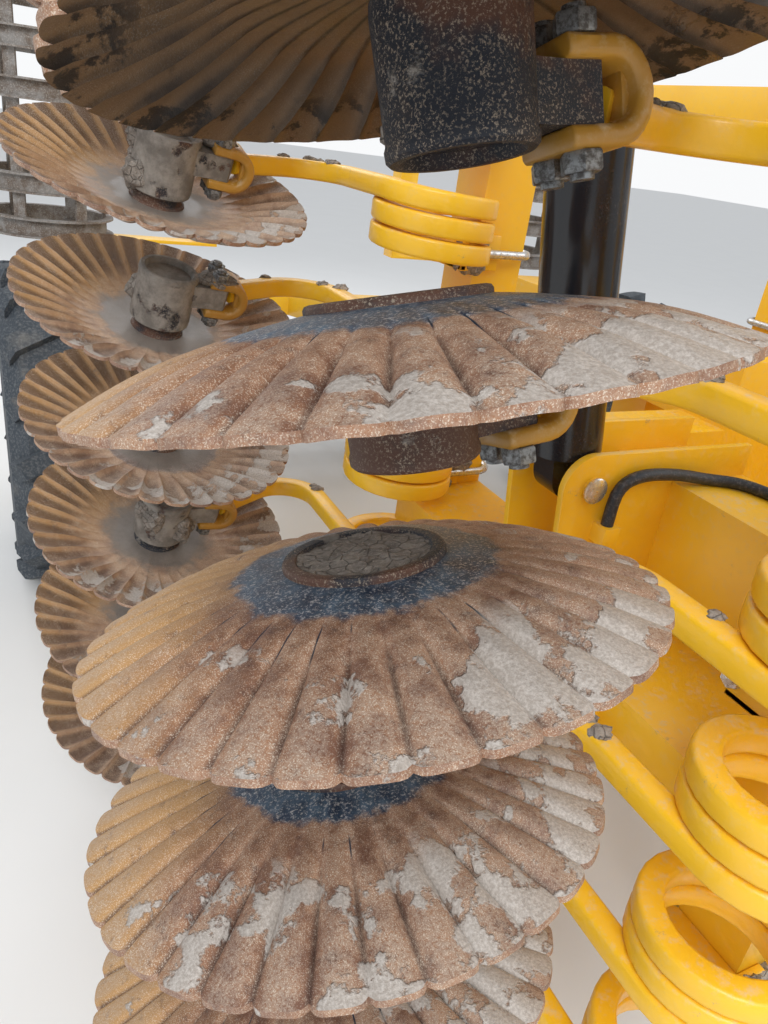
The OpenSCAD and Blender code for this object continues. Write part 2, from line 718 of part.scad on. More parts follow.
module rear_frame() {
  rb = roller_beam / 2;
  color(steel_yellow) {
    rotate([90, 0, 90]) translate([0, 0, -neck_w / 2]) linear_extrude(neck_w)
      polygon([[neck_rear, neck_low], [neck_rear, neck_low + neck_h], [rear_bend, neck_low + neck_h],
        [rear_knee, rear_high], [roller_y - rb, centre_beam_z + rb], [roller_y - rb, centre_beam_z - rb],
        [roller_y + rb, centre_beam_z - rb], [rear_knee, rear_high - rear_tube], [neck_rear - 140, neck_low]]);
    roller_frame(CENTRE_ROLLER, centre_beam_z);
    box_between([-axle_arm_x - axle_arm_t / 2, axle_tube[1], rear_high - rear_tube],
      [axle_arm_x + axle_arm_t / 2, axle_tube[0], rear_high - 20]);
  }
}

module axle() {
  color(steel_yellow) {
    translate([0, axle_y, wheel_r]) rotate([0, 90, 0])
      cylinder(h = track - tyre_w + 40, d = axle_d, center = true);
    for (side = [-1, 1]) translate([side * axle_arm_x - axle_arm_t / 2, 0, 0])
      rotate([90, 0, 90]) linear_extrude(axle_arm_t)
        polygon([[axle_tube[0], rear_high - rear_tube], [axle_tube[1], rear_high - rear_tube],
          [axle_y - axle_clip, wheel_r + axle_clip / 3], [axle_y - axle_clip, wheel_r - axle_clip * 0.7],
          [axle_y + axle_clip, wheel_r - axle_clip * 0.7]]);
    translate([0, axle_y, wheel_r]) rotate([0, 90, 0]) cylinder(h = track, d = axle_end_d, center = true);
  }
}

module at_wheel(side) {
  translate([side * track / 2, axle_y, wheel_r]) rotate([0, side * 90, 0]) children();
}

// A ring of flat sides between the rings of points that a half section gives
module flat_ring(section, sides) {
  n = len(section);
  polyhedron(
    points = [for (i = [0:sides - 1], p = section) let (a = i * 360 / sides)
      [p[0] * cos(a), p[0] * sin(a), p[1]]],
    faces = [for (i = [0:sides - 1], j = [0:n - 1], half = [0, 1])
      let (a = i * n + j, b = i * n + (j + 1) % n,
        c = (i + 1) % sides * n + (j + 1) % n, d = (i + 1) % sides * n + j)
          half == 0 ? [c, b, a] : [d, c, a]]);
}

// One lug runs from the middle of the tread to its shoulder and leans back in the chevron
module tyre_lug() {
  half = tyre_w / 2;
  length = half / cos(lug_skew);
  translate([0, 0, half / 2]) rotate([lug_skew, 0, 0]) translate([0, tread_lug_w / 2, -length / 2])
    rotate([90, 0, 0]) linear_extrude(tread_lug_w)
      polygon([[carcass_r - lug_root, lug_gap], [wheel_r + lug_root, lug_gap],
        [wheel_r + lug_root, length - shoulder],
        [wheel_r - shoulder, length - lug_gap], [carcass_r - lug_root - lug_h, length - lug_gap]]);
}

module tyre(side) {
  bead = rim_d / 2 / cos(180 / tyre_sides);
  half = tyre_w / 2;
  color(rubber) at_wheel(side) {
    flat_ring([[bead, -half + 50], [bead, half - 50], [bead + 60, half - 8], [carcass_r - 70, half],
      [carcass_r, half - shoulder - 14], [carcass_r, -half + shoulder + 14], [carcass_r - 70, -half],
      [bead + 60, -half + 8]], tyre_sides);
    intersection() {
      cylinder(h = 2 * tyre_w, r = wheel_r, center = true, $fn = 128);
      for (i = [0:tread_lugs - 1]) rotate([0, 0, i * 360 / tread_lugs]) {
        tyre_lug();
        rotate([0, 0, 180 / tread_lugs]) mirror([0, 0, 1]) tyre_lug();
      }
    }
  }
}

module wheel(side) {
  bead = rim_d / 2 - seat;
  half = tyre_w / 2 - 50;
  color([0.85, 0.85, 0.83]) at_wheel(side) {
    rotate_extrude($fn = 128) polygon([[bead, -half], [bead, half], [bead - 24, half], [bead - 24, 60],
      [110, 40], [90, 110], [30 + run_gap, 110], [30 + run_gap, -20], [90, -20], [bead - 24, 30],
      [bead - 24, -half]]);
  }
}

module jack() {
  x = neck_w / 2 + seat;
  tube_x = x + jack_boss_l + jack_d / 2 - 6;
  color(steel_black) {
    difference() {
      translate([x, jack_y, jack_z]) rotate([0, 90, 0]) cylinder(h = jack_boss_l, d = jack_boss_d);
      translate([x - 1, jack_y, jack_z]) rotate([0, 90, 0])
        cylinder(h = jack_pin_l + 2, d = jack_pin_d + 2 * seat);
    }
    translate([tube_x, jack_y, jack_tube_low])
      cylinder(h = jack_z + jack_over - jack_tube_low, d = jack_d);
    translate([tube_x, jack_y, jack_foot_t / 2]) cylinder(h = jack_tube_low, d = jack_inner_d);
    translate([tube_x - jack_foot / 2, jack_y - jack_foot / 2, 0]) cube([jack_foot, jack_foot, jack_foot_t]);
  }
}

for (row = [0, 1], s = [0:2], i = [1:SECTIONS[s][2]])
  disc(row, s, i);
arms(0, 0);  // arms_front_left
arms(0, 1);  // arms_front_centre
arms(0, 2);  // arms_front_right
arms(1, 0);  // arms_rear_left
arms(1, 1);  // arms_rear_centre
arms(1, 2);  // arms_rear_right
wing_frame(-1);  // wing_frame_left
wing_frame(1);  // wing_frame_right
wing_roller(-1);  // wing_roller_left
wing_roller(1);  // wing_roller_right
centre_roller();
fold_barrel(-1);  // fold_barrel_left
fold_barrel(1);  // fold_barrel_right
fold_rod(-1);  // fold_rod_left
fold_rod(1);  // fold_rod_right
centre_frame();
cylinder_brackets();
rear_frame();
axle();
wheel(-1);  // wheel_left
wheel(1);  // wheel_right
tyre(-1);  // tyre_left
tyre(1);  // tyre_right
union() {  // hoses
  hose(-1);
  hose(1);
}
drawbar();
towing_eye();
jack();
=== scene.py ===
import math
import random
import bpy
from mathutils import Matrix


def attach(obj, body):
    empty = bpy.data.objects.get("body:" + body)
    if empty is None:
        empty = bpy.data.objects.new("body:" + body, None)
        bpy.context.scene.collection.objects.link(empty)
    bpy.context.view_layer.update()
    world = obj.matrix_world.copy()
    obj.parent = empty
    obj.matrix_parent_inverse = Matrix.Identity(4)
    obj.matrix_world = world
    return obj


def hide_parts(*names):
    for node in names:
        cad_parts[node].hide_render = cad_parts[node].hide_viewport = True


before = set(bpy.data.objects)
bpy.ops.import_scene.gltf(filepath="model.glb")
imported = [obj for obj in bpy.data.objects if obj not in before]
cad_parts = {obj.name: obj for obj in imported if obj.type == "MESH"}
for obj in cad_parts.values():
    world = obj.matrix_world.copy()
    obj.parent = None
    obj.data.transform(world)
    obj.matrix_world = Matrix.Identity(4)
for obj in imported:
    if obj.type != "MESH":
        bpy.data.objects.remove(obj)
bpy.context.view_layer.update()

from types import SimpleNamespace

import bmesh
import bpy
import numpy as np
from mathutils import Matrix, Vector, noise

# Sizes of the machine in metres, the same as in the part's source
ROW_Y = {"front": 0.600, "rear": -0.460}
ROW_SHIFT = {"front": 0.0, "rear": -0.188}
# Each section's first disc, counted from the machine's left, its number of discs and its side
SECTIONS = {"left": (0, 7, -1), "centre": (7, 2, 0), "right": (9, 7, 1)}
LAST_DISC = 15
OUTER_X, PITCH, DISC_Z = 1.969, 0.250, 0.479
HINGE_X, HINGE_Z = 0.800, 0.879
GANG, CAMBER = math.radians(16), math.radians(8)
BEAM = 0.120
RAIL_OUT = 0.450

# Discs: the sheet, the plate in its middle, its flutes and where they start and rise along the radius
DISC_R, DISH, SHEET = 0.288, 0.062, 0.007
CAP_R, CAP_H = 0.082, 0.008
INSIDE_R = 0.050
FLUTES, FLUTE_DEPTH, NOTCH = 36, 0.0066, 0.0092
FLUTE_START, FLUTE_RISE = 0.46, 0.28
# Shares of the radius where the flutes start to lose depth towards the rim and the notches begin
RIM_START, RIM_LOSS, NOTCH_START = 0.80, 0.55, 0.84
# Points in a flute and rings in a sheet, on the discs near the camera and on the others
NEAR_MESH, FAR_MESH = (10, 9), (6, 6)

# Bearing housings, with the height of the lug and the fork on them
HUB_R, HUB_L, HUB_TOP = 0.060, 0.112, 0.0321
LUG_Z = HUB_TOP - HUB_L * 0.66
FORK_HALF, FORK_T, FORK_W = 0.023, 0.018, 0.035
FORK_NUT = (0.0175, 0.016)

# Sprung arms: the bar, its coil, bend, lean and tail
BAR, COIL_R, COIL_PITCH, TURNS = 0.038, 0.105, 0.043, 2.5
ARM_X, FOOT_Y, FOOT_Z = -0.030, 0.006, 0.128
COIL_Y, COIL_Z, BEND_R, LEAN = 0.210, 0.485, 0.090, math.radians(30)
TAIL = 0.160
BEND_STEPS, COIL_STEPS = 12, 72
TAIL_X, TAIL_TOP = ARM_X + TURNS * COIL_PITCH, COIL_Z + COIL_R + BAR / 2

# Clamps round the beams, and the nuts of their round bolts
CLAMP_W, CLAMP_T, CLAMP_SIDE, CLAMP_LIP, CLAMP_REACH = 0.072, 0.014, 0.012, 0.050, 0.034
CLAMP_REAR, CLAMP_FRONT = COIL_Y - TAIL / 2 - BEAM / 2, COIL_Y - TAIL / 2 + BEAM / 2
BOLT_R, BOLT_OFF, BOLT_BEND = 0.009, 0.0245, 0.034
CLAMP_NUT = (0.0165, 0.014)

# Lower pins of the cylinders: place, radius of the heads and the two ends
PIN_X, PIN_Z, PIN_R, PIN_ENDS = 0.635, 1.240, 0.0235, (0.108, 0.292)
# Black line on the side rails: its foot, its upright stretch and its thickness
LINE_Y, LINE_Z, LINE_W, LINE_T = (0.372, 0.536), (1.025, 1.150), 0.004, 0.0006

# Radius at which a turned outline ends on its axis
AXIS = 0.0001

# Camera, fitted to the photograph, and the lamps: place, power in watts and width
CAMERA_AT, CAMERA_LENS = (1.524, 1.184, 1.732), 27.40
CAMERA_RIGHT, CAMERA_BACK = (-0.8963, 0.4252, 0.1258), (0.4351, 0.7885, 0.4347)
LAMPS = {
    "key": ((3.5, 4.5, 6.0), 360, 4.0),
    "fill": ((-5.0, 3.0, 5.0), 120, 5.0),
    "back": ((0.5, -6.0, 5.5), 150, 5.0),
}
LAMPS_AIM = (0.6, 0, 1.0)
WORLD_LIGHT, WORLD_SEEN = 0.72, 1.0
FLOOR_HALF = 60


# Places

def section_matrix(section):
    """From the working place to the folded one."""
    side = SECTIONS[section][2]
    if side == 0:
        return Matrix.Identity(4)
    pivot = Vector((side * HINGE_X, 0, HINGE_Z))
    turn = Matrix.Rotation(-side * math.pi / 2, 4, "Y")
    return Matrix.Translation(pivot) @ turn @ Matrix.Translation(-pivot)


def disc_place(row, section, i):
    """Places a piece that is drawn as on the front row, with its disc's middle at the origin."""
    start, count, side = SECTIONS[section]
    k = start + count - i if side < 0 else start + i - 1
    x = OUTER_X + ROW_SHIFT[row] - (LAST_DISC - k) * PITCH
    place = Matrix.Translation((x, ROW_Y[row], DISC_Z))
    if row == "rear":
        place = place @ Matrix.Scale(-1, 4, (1, 0, 0))
    return section_matrix(section) @ place


# From a disc drawn flat, its axis along Z, to its gang angle and camber
TILT = (Matrix.Rotation(-GANG, 4, "Z") @ Matrix.Rotation(CAMBER, 4, "Y")
        @ Matrix.Rotation(math.pi / 2, 4, "Y"))


def body_of_section(section):
    return "chassis" if section == "centre" else "wing_" + section


# Mesh building

class Build:
    """Collects vertices and faces of one mesh, with point attributes."""

    def __init__(self):
        self.verts, self.faces, self.attrs = [], [], {}
        self.count = 0

    def add(self, verts, faces, matrix=None, **attrs):
        verts = np.asarray(verts, float)
        flip = False
        if matrix is not None:
            m = np.array(matrix)
            verts = verts @ m[:3, :3].T + m[:3, 3]
            flip = np.linalg.det(m[:3, :3]) < 0
        base = self.count
        for f in faces:
            f = [base + i for i in f]
            self.faces.append(f[::-1] if flip else f)
        for name, values in attrs.items():
            values = np.asarray(values, float)
            width = 1 if values.ndim == 1 else values.shape[1]
            self.attrs.setdefault(name, (width, []))[1].append((base, values))
        self.verts.append(verts)
        self.count += len(verts)

    def object(self, name, material, bevel=0.0, angle=40, smooth=True):
        """Makes the Blender object, with the point attributes on its mesh."""
        mesh = bpy.data.meshes.new(name)
        mesh.from_pydata(np.concatenate(self.verts).tolist(), [], self.faces)
        for key, (width, parts) in self.attrs.items():
            data = np.zeros((self.count, width), np.float32)
            for base, values in parts:
                data[base:base + len(values)] = values.reshape(len(values), width)
            kind = "FLOAT" if width == 1 else "FLOAT_VECTOR"
            attribute = mesh.attributes.new(key, kind, "POINT")
            attribute.data.foreach_set("value" if width == 1 else "vector", data.ravel())
        mesh.materials.append(material)
        obj = bpy.data.objects.new(name, mesh)
        bpy.context.scene.collection.objects.link(obj)
        finish_surface(obj, bevel, angle, smooth)
        return obj


def finish_surface(obj, bevel, angle, smooth=True):
    """Rounds the edges that are sharper than the angle, and shades the rest smooth."""
    if bevel:
        mod = obj.modifiers.new("bevel", "BEVEL")
        mod.width, mod.segments, mod.limit_method = bevel, 2, "ANGLE"
        mod.angle_limit = math.radians(angle)
        mod.harden_normals = False
        apply_modifiers(obj)
    if smooth:
        obj.data.shade_smooth()
        with_sharp(obj, angle)


def with_sharp(obj, angle):
    """Marks edges sharper than the angle, so that flat faces stay flat."""
    bm = bmesh.new()
    bm.from_mesh(obj.data)
    limit = math.radians(angle)
    for e in bm.edges:
        e.smooth = len(e.link_faces) == 2 and e.calc_face_angle(0) < limit
    bm.to_mesh(obj.data)
    bm.free()


def apply_modifiers(obj):
    depsgraph = bpy.context.evaluated_depsgraph_get()
    made = bpy.data.meshes.new_from_object(obj.evaluated_get(depsgraph))
    made.name = obj.data.name
    obj.modifiers.clear()
    obj.data = made


def box_mesh(low, high):
    (x0, y0, z0), (x1, y1, z1) = low, high
    v = [(x0, y0, z0), (x1, y0, z0), (x1, y1, z0), (x0, y1, z0),
         (x0, y0, z1), (x1, y0, z1), (x1, y1, z1), (x0, y1, z1)]
    f = [(0, 3, 2, 1), (4, 5, 6, 7), (0, 1, 5, 4), (1, 2, 6, 5), (2, 3, 7, 6), (3, 0, 4, 7)]
    return v, f


def revolve(outline, steps):
    """Turns an open (r, z) outline about Z."""
    v, f = [], []
    n = len(outline)
    for s in range(steps):
        a = 2 * math.pi * s / steps
        v += [(r * math.cos(a), r * math.sin(a), z) for r, z in outline]
    for s in range(steps):
        t = (s + 1) % steps
        for i in range(n - 1):
            f.append((s * n + i, t * n + i, t * n + i + 1, s * n + i + 1))
    return v, f


def prism(points, depth):
    """A closed outline in XY, from z = 0 to depth."""
    n = len(points)
    v = [(x, y, 0) for x, y in points] + [(x, y, depth) for x, y in points]
    f = [tuple(range(n))[::-1], tuple(range(n, 2 * n))]
    f += [(i, (i + 1) % n, n + (i + 1) % n, n + i) for i in range(n)]
    return v, f


def sweep(path, side, profile):
    """Sweeps an outline (u along side, v across) along a path of points, with closed ends."""
    path = [Vector(p) for p in path]
    n, m = len(profile), len(path)
    v, f = [], []
    for i, p in enumerate(path):
        tangent = (path[min(i + 1, m - 1)] - path[max(i - 1, 0)]).normalized()
        s = (side - side.dot(tangent) * tangent).normalized()
        up = tangent.cross(s)
        v += [tuple(p + s * a + up * b) for a, b in profile]
    for i in range(m - 1):
        for j in range(n):
            k = (j + 1) % n
            f.append((i * n + j, i * n + k, (i + 1) * n + k, (i + 1) * n + j))
    f.append(tuple(range(n))[::-1])
    f.append(tuple(range((m - 1) * n, m * n)))
    return v, f


def rounded_square(side, radius, steps=3):
    h = side / 2 - radius
    points = []
    for cx, cy, start in ((h, h, 0), (-h, h, 90), (-h, -h, 180), (h, -h, 270)):
        for i in range(steps):
            a = math.radians(start + 90 * i / (steps - 1))
            points.append((cx + radius * math.cos(a), cy + radius * math.sin(a)))
    return points


# Materials

def new_material(name):
    mat = bpy.data.materials.new(name)
    mat.use_nodes = True
    nodes = mat.node_tree.nodes
    nodes.clear()
    out = nodes.new("ShaderNodeOutputMaterial")
    shader = nodes.new("ShaderNodeBsdfPrincipled")
    mat.node_tree.links.new(shader.outputs[0], out.inputs["Surface"])
    return mat, shader


class Nodes:
    """Short names for the node calls that the materials below repeat."""

    def __init__(self, mat):
        self.tree = mat.node_tree

    def new(self, kind, **values):
        n = self.tree.nodes.new(kind)
        for key, value in values.items():
            setattr(n, key, value)
        return n

    def link(self, a, b):
        self.tree.links.new(a, b)

    def attribute(self, name, output="Fac"):
        return self.new("ShaderNodeAttribute", attribute_name=name).outputs[output]

    def coords(self, attribute=None):
        if attribute:
            return self.attribute(attribute, "Vector")
        return self.new("ShaderNodeTexCoord").outputs["Object"]

    def noise(self, coords, scale, detail=4.0, rough=0.55):
        n = self.new("ShaderNodeTexNoise")
        n.inputs["Scale"].default_value = scale
        n.inputs["Detail"].default_value = detail
        n.inputs["Roughness"].default_value = rough
        self.link(coords, n.inputs["Vector"])
        return n.outputs["Fac"]

    def cracks(self, coords, scale):
        """Distance to the nearest border between cells."""
        n = self.new("ShaderNodeTexVoronoi", feature="DISTANCE_TO_EDGE")
        n.inputs["Scale"].default_value = scale
        self.link(coords, n.inputs["Vector"])
        return n.outputs["Distance"]

    def math(self, op, a, b=0.0, clamp=False):
        n = self.new("ShaderNodeMath", operation=op, use_clamp=clamp)
        for socket, value in zip(n.inputs, (a, b)):
            if isinstance(value, (int, float)):
                socket.default_value = value
            else:
                self.link(value, socket)
        return n.outputs[0]

    def ramp(self, value, low, high, to_low=0.0, to_high=1.0):
        """A soft step of the value from low to high; it falls where high is the smaller."""
        n = self.new("ShaderNodeMapRange", interpolation_type="SMOOTHSTEP")
        n.inputs["From Min"].default_value = low
        n.inputs["From Max"].default_value = high
        n.inputs["To Min"].default_value = to_low
        n.inputs["To Max"].default_value = to_high
        self.link(value, n.inputs["Value"])
        return n.outputs[0]

    def mix(self, factor, a, b):
        n = self.new("ShaderNodeMix", data_type="RGBA")
        for socket, value in ((n.inputs[0], factor), (n.inputs[6], a), (n.inputs[7], b)):
            if isinstance(value, (int, float)):
                socket.default_value = value
            elif isinstance(value, tuple):
                socket.default_value = (*value, 1)
            else:
                self.link(value, socket)
        return n.outputs[2]

    def bump(self, height, strength, distance, normal=None):
        n = self.new("ShaderNodeBump")
        n.inputs["Strength"].default_value = strength
        n.inputs["Distance"].default_value = distance
        self.link(height, n.inputs["Height"])
        if normal is not None:
            self.link(normal, n.inputs["Normal"])
        return n.outputs[0]

    def up(self):
        """1 where the surface faces up, and -1 where it faces down."""
        sep = self.new("ShaderNodeSeparateXYZ")
        self.link(self.new("ShaderNodeNewGeometry").outputs["Normal"], sep.inputs[0])
        return sep.outputs["Z"]


# Colours, linear
YELLOW, YELLOW_DEEP = (0.98, 0.585, 0.022), (0.93, 0.52, 0.018)
FORK_WORN, FORK_DARK = (0.66, 0.35, 0.045), (0.44, 0.22, 0.035)
YELLOW_DUST = (0.72, 0.56, 0.34)
MUD = (0.27, 0.245, 0.215)
MUD_SHADE, PALE_MUD = (0.40, 0.36, 0.32), (0.62, 0.58, 0.54)
MUD_DARK, MUD_LIGHT, MUD_CRACK, MUD_GRAIN = (
    (0.17, 0.15, 0.13), (0.42, 0.385, 0.345), (0.09, 0.078, 0.066), (0.60, 0.55, 0.49))
COLLAR_DARK, COLLAR_LIGHT = (0.17, 0.155, 0.14), (0.33, 0.30, 0.27)
# Rust on the outer and on the inner face of a disc: two tones and the dark spots
RUST_OUTER = ((0.185, 0.088, 0.056), (0.38, 0.190, 0.098), (0.095, 0.050, 0.040))
RUST_INNER = ((0.34, 0.215, 0.150), (0.52, 0.335, 0.21), (0.19, 0.125, 0.09))
# Painted highlight on one side of a disc; valleys dark from rust and painted shade; ridges rubbed
# lighter, with a painted highlight
HIGHLIGHT_TAN, VALLEY_RUST_AND_SHADE, RUBBED_AND_HIGHLIGHT = (0.50, 0.285, 0.105), (0.070, 0.036, 0.028), (0.52, 0.42, 0.34)
DISC_DUST, DISC_GRAIN = (0.47, 0.37, 0.29), (0.78, 0.70, 0.58)
BLUE_DARK, BLUE_PALE, BLUE_DROP = (0.018, 0.044, 0.088), (0.095, 0.180, 0.270), (0.012, 0.026, 0.048)
BLUE_GRAIN = (0.55, 0.55, 0.55)
# Painted shade on the underside of the front discs, darker in the valleys, and the black of the patches
# at their rims
SHADE_VALLEY, SHADE_RIDGE, RIM_BLACK = (0.020, 0.014, 0.011), (0.17, 0.105, 0.055), (0.010, 0.009, 0.009)
HUB_BLUE, HUB_RUST, HUB_SPOT = (0.016, 0.022, 0.034), (0.110, 0.050, 0.032), (0.050, 0.040, 0.036)
HUB_GRAIN, HUB_MUD_DARK, HUB_MUD = (0.42, 0.35, 0.27), (0.20, 0.185, 0.165), (0.38, 0.355, 0.32)
BOLT_LIGHT, BOLT_DARK = (0.34, 0.36, 0.37), (0.13, 0.125, 0.12)
SILVER, SILVER_DULL = (0.66, 0.67, 0.68), (0.42, 0.40, 0.37)
BLACK, BLACK_DUST = (0.010, 0.011, 0.015), (0.26, 0.23, 0.20)
HOSE_BLACK, HOSE_GREY = (0.020, 0.024, 0.032), (0.10, 0.10, 0.105)
TYRE_BLACK, TYRE_GREY, TYRE_MUD = (0.030, 0.040, 0.052), (0.12, 0.13, 0.14), (0.24, 0.22, 0.19)
ROLLER_GREY, ROLLER_RUST, ROLLER_DUST = (0.27, 0.255, 0.24), (0.15, 0.115, 0.09), (0.50, 0.47, 0.43)
RIM_PALE, RIM_DIRT = (0.62, 0.62, 0.60), (0.30, 0.27, 0.23)
FLOOR_DARK, FLOOR_LIGHT = (0.80, 0.80, 0.79), (0.84, 0.84, 0.83)
SKY_LIGHT, SKY_SEEN = (0.93, 0.96, 1.0, 1), (0.95, 0.96, 0.97, 1)


def yellow_paint(name="yellow_paint", dirt=1.0, tones=(YELLOW, YELLOW_DEEP)):
    """Glossy paint with dust on its upper sides and grime in patches."""
    mat, shader = new_material(name)
    n = Nodes(mat)
    co = n.coords()
    broad = n.noise(co, 3.0, 5)
    fine = n.noise(co, 60.0, 6, 0.7)
    speck = n.noise(co, 420.0, 3, 0.7)
    paint = n.mix(n.ramp(broad, 0.3, 0.7), *tones)
    lying = n.ramp(n.up(), -0.2, 0.9, 0.10, 0.65)
    dust = n.math("MULTIPLY", n.ramp(fine, 0.48, 0.72), lying, True)
    dusty = n.mix(n.math("MULTIPLY", dust, dirt), paint, YELLOW_DUST)
    patches = n.ramp(n.noise(co, 14.0, 8, 0.75), 0.62, 0.72)
    grime = n.math("MULTIPLY", patches, n.ramp(speck, 0.3, 0.6), True)
    n.link(n.mix(n.math("MULTIPLY", grime, 0.75 * dirt), dusty, MUD), shader.inputs["Base Color"])
    n.link(n.ramp(fine, 0.3, 0.8, 0.3, 0.62), shader.inputs["Roughness"])
    n.link(n.bump(speck, 0.12, 0.002, n.bump(fine, 0.2, 0.002)), shader.inputs["Normal"])
    shader.inputs["Coat Weight"].default_value = 0.25
    shader.inputs["Coat Roughness"].default_value = 0.2
    return mat


def rust_dust_and_painted_light(n, look, convex):
    """Rust with a painted highlight on one side, rubbed lighter on the ridges with a painted highlight,
    and dark in the valleys from rust and painted shade, under dust and pale grains.
    """
    light, deep, spots = RUST_OUTER if convex else RUST_INNER
    col = n.mix(n.ramp(look.mid, 0.34, 0.66), light, deep)
    # painted highlight: the disc is painted tan towards one side
    highlight = n.math("ADD", look.lit, n.math("MULTIPLY", look.broad, 0.5))
    col = n.mix(n.ramp(highlight, 0.86, 1.18, 0, 0.85), col, HIGHLIGHT_TAN)
    col = n.mix(n.ramp(n.noise(look.co, 48.0, 5, 0.7), 0.54, 0.72, 0, 0.7), col, spots)
    # rust and painted shade: the flute valleys are painted dark in the outer half of the disc
    valley_rust_and_shade = n.math("MULTIPLY", n.ramp(look.valley, 0.45, 0.95), n.ramp(look.rad, 0.5, 0.75, 0, 0.72))
    col = n.mix(valley_rust_and_shade, col, VALLEY_RUST_AND_SHADE)
    # rubbed wear and painted highlight: the ridges near the rim are painted lighter
    ridge = n.math("MULTIPLY", n.ramp(look.valley, 0.35, 0.05), n.ramp(look.rad, 0.62, 0.95, 0, 0.45))
    col = n.mix(n.math("MULTIPLY", ridge, n.ramp(look.fine, 0.35, 0.6)), col, RUBBED_AND_HIGHLIGHT)
    # the dust is thicker on the side away from the painted highlight
    side = n.math("SUBTRACT", look.mid, n.math("MULTIPLY", look.lit, 0.35))
    dust = n.math("MULTIPLY", n.ramp(side, 0.22, 0.50), n.ramp(look.fine, 0.36, 0.60, 0.15, 0.75))
    col = n.mix(n.math("MULTIPLY", dust, 0.7), col, DISC_DUST)
    grains = n.math("MULTIPLY", n.ramp(look.grit, 0.55, 0.62), n.ramp(look.mid, 0.3, 0.7, 0.20, 0.75))
    return n.mix(grains, col, DISC_GRAIN)


def paint_left(n, look, convex, col):
    """Adds the blue paint that is left in the middle and at the inner ends of the valleys."""
    edge = n.math("ADD", look.rad, n.math("MULTIPLY", n.math("SUBTRACT", look.mid, 0.5), 0.22))
    limit = n.math("ADD", n.math("MULTIPLY", look.seed, 0.24), 0.38 if convex else 0.30)
    kept = n.ramp(n.math("SUBTRACT", limit, edge), -0.015, 0.03)
    blue = n.mix(n.ramp(look.mid, 0.35, 0.7), BLUE_DARK, BLUE_PALE)
    blue = n.mix(n.ramp(look.fine, 0.52, 0.62, 0, 0.85), blue, BLUE_GRAIN)
    col = n.mix(n.math("MULTIPLY", kept, 0.95 if convex else 0.45), col, blue)
    if convex:
        drops = n.math("MULTIPLY", n.ramp(look.rad, 0.47, 0.52), n.ramp(look.rad, 0.66, 0.58))
        drops = n.math("MULTIPLY", n.ramp(look.valley, 0.78, 0.93), drops)
        drops = n.math("MULTIPLY", drops, n.ramp(n.noise(look.co, 9.0, 3), 0.42, 0.5))
        col = n.mix(drops, col, BLUE_DROP)
    return col, kept


def disc_mud(n, look, convex, col):
    """Adds pale dried patches towards one side of the rim, and a grey collar round the hub."""
    patch = n.math("ADD", n.noise(look.co, 15.0, 7, 0.62),
                   n.math("MULTIPLY", n.attribute("mud_side"), 0.16))
    patch = n.math("MULTIPLY", n.ramp(patch, 0.60, 0.635), n.ramp(look.rad, 0.50, 0.70))
    tone = n.mix(n.ramp(look.fine, 0.35, 0.7), MUD_SHADE, PALE_MUD)
    col = n.mix(n.math("MULTIPLY", patch, 0.92), col, tone)
    if not convex:
        reach = n.math("ADD", look.rad, n.math("MULTIPLY", n.noise(look.co, 20.0, 6, 0.7), 0.5))
        collar = n.math("MULTIPLY", n.ramp(reach, 0.74, 0.58), 0.85)
        col = n.mix(collar, col, n.mix(look.mid, COLLAR_DARK, COLLAR_LIGHT))
    return col, patch


def shaded(n, look, shade, col):
    """Adds painted shade to the underside of the top disc, darker in the valleys, with black patches at
    its rim.
    """
    dark = n.mix(n.ramp(look.valley, 0.25, 0.85), SHADE_VALLEY, SHADE_RIDGE)
    col = n.mix(n.ramp(look.broad, 0.30, 0.62, 1.0, 1.0 - shade), col, dark)
    rim_black = n.math("MULTIPLY", n.ramp(n.noise(look.co, 17.0, 6, 0.7), 0.52, 0.58),
                  n.ramp(look.rad, 0.70, 0.86))
    return n.mix(n.math("MULTIPLY", rim_black, 0.9), col, RIM_BLACK)


def disc_steel(name, convex, shade=1.0):
    """Blue-black paint in the middle, worn to rust outwards, with dried mud and dust, painted highlight
    and shade on the sheet, and painted shade over it all when shade is under 1.
    """
    mat, shader = new_material(name)
    n = Nodes(mat)
    co = n.coords("disc_co")
    look = SimpleNamespace(
        co=co, rad=n.attribute("rad"), valley=n.attribute("valley"), seed=n.attribute("seed"),
        lit=n.attribute("gradient"), broad=n.noise(co, 7.0, 5, 0.6), mid=n.noise(co, 26.0, 8, 0.72),
        fine=n.noise(co, 330.0, 4, 0.75), grit=n.noise(co, 900.0, 2, 0.6))
    col = rust_dust_and_painted_light(n, look, convex)
    col, kept = paint_left(n, look, convex, col)
    col, patch = disc_mud(n, look, convex, col)
    if shade < 1:
        col = shaded(n, look, shade, col)
    n.link(col, shader.inputs["Base Color"])
    rough = n.math("ADD", n.ramp(look.mid, 0.3, 0.7, 0.48, 0.72), n.math("MULTIPLY", kept, -0.18))
    n.link(rough, shader.inputs["Roughness"])
    n.link(n.ramp(look.valley, 0.0, 0.5, 0.35, 0.12), shader.inputs["Metallic"])
    normal = n.bump(patch, 0.8, 0.002, n.bump(look.mid, 0.35, 0.003))
    normal = n.bump(look.grit, 0.25, 0.0008, n.bump(look.fine, 0.5, 0.0012, normal))
    n.link(normal, shader.inputs["Normal"])
    return mat


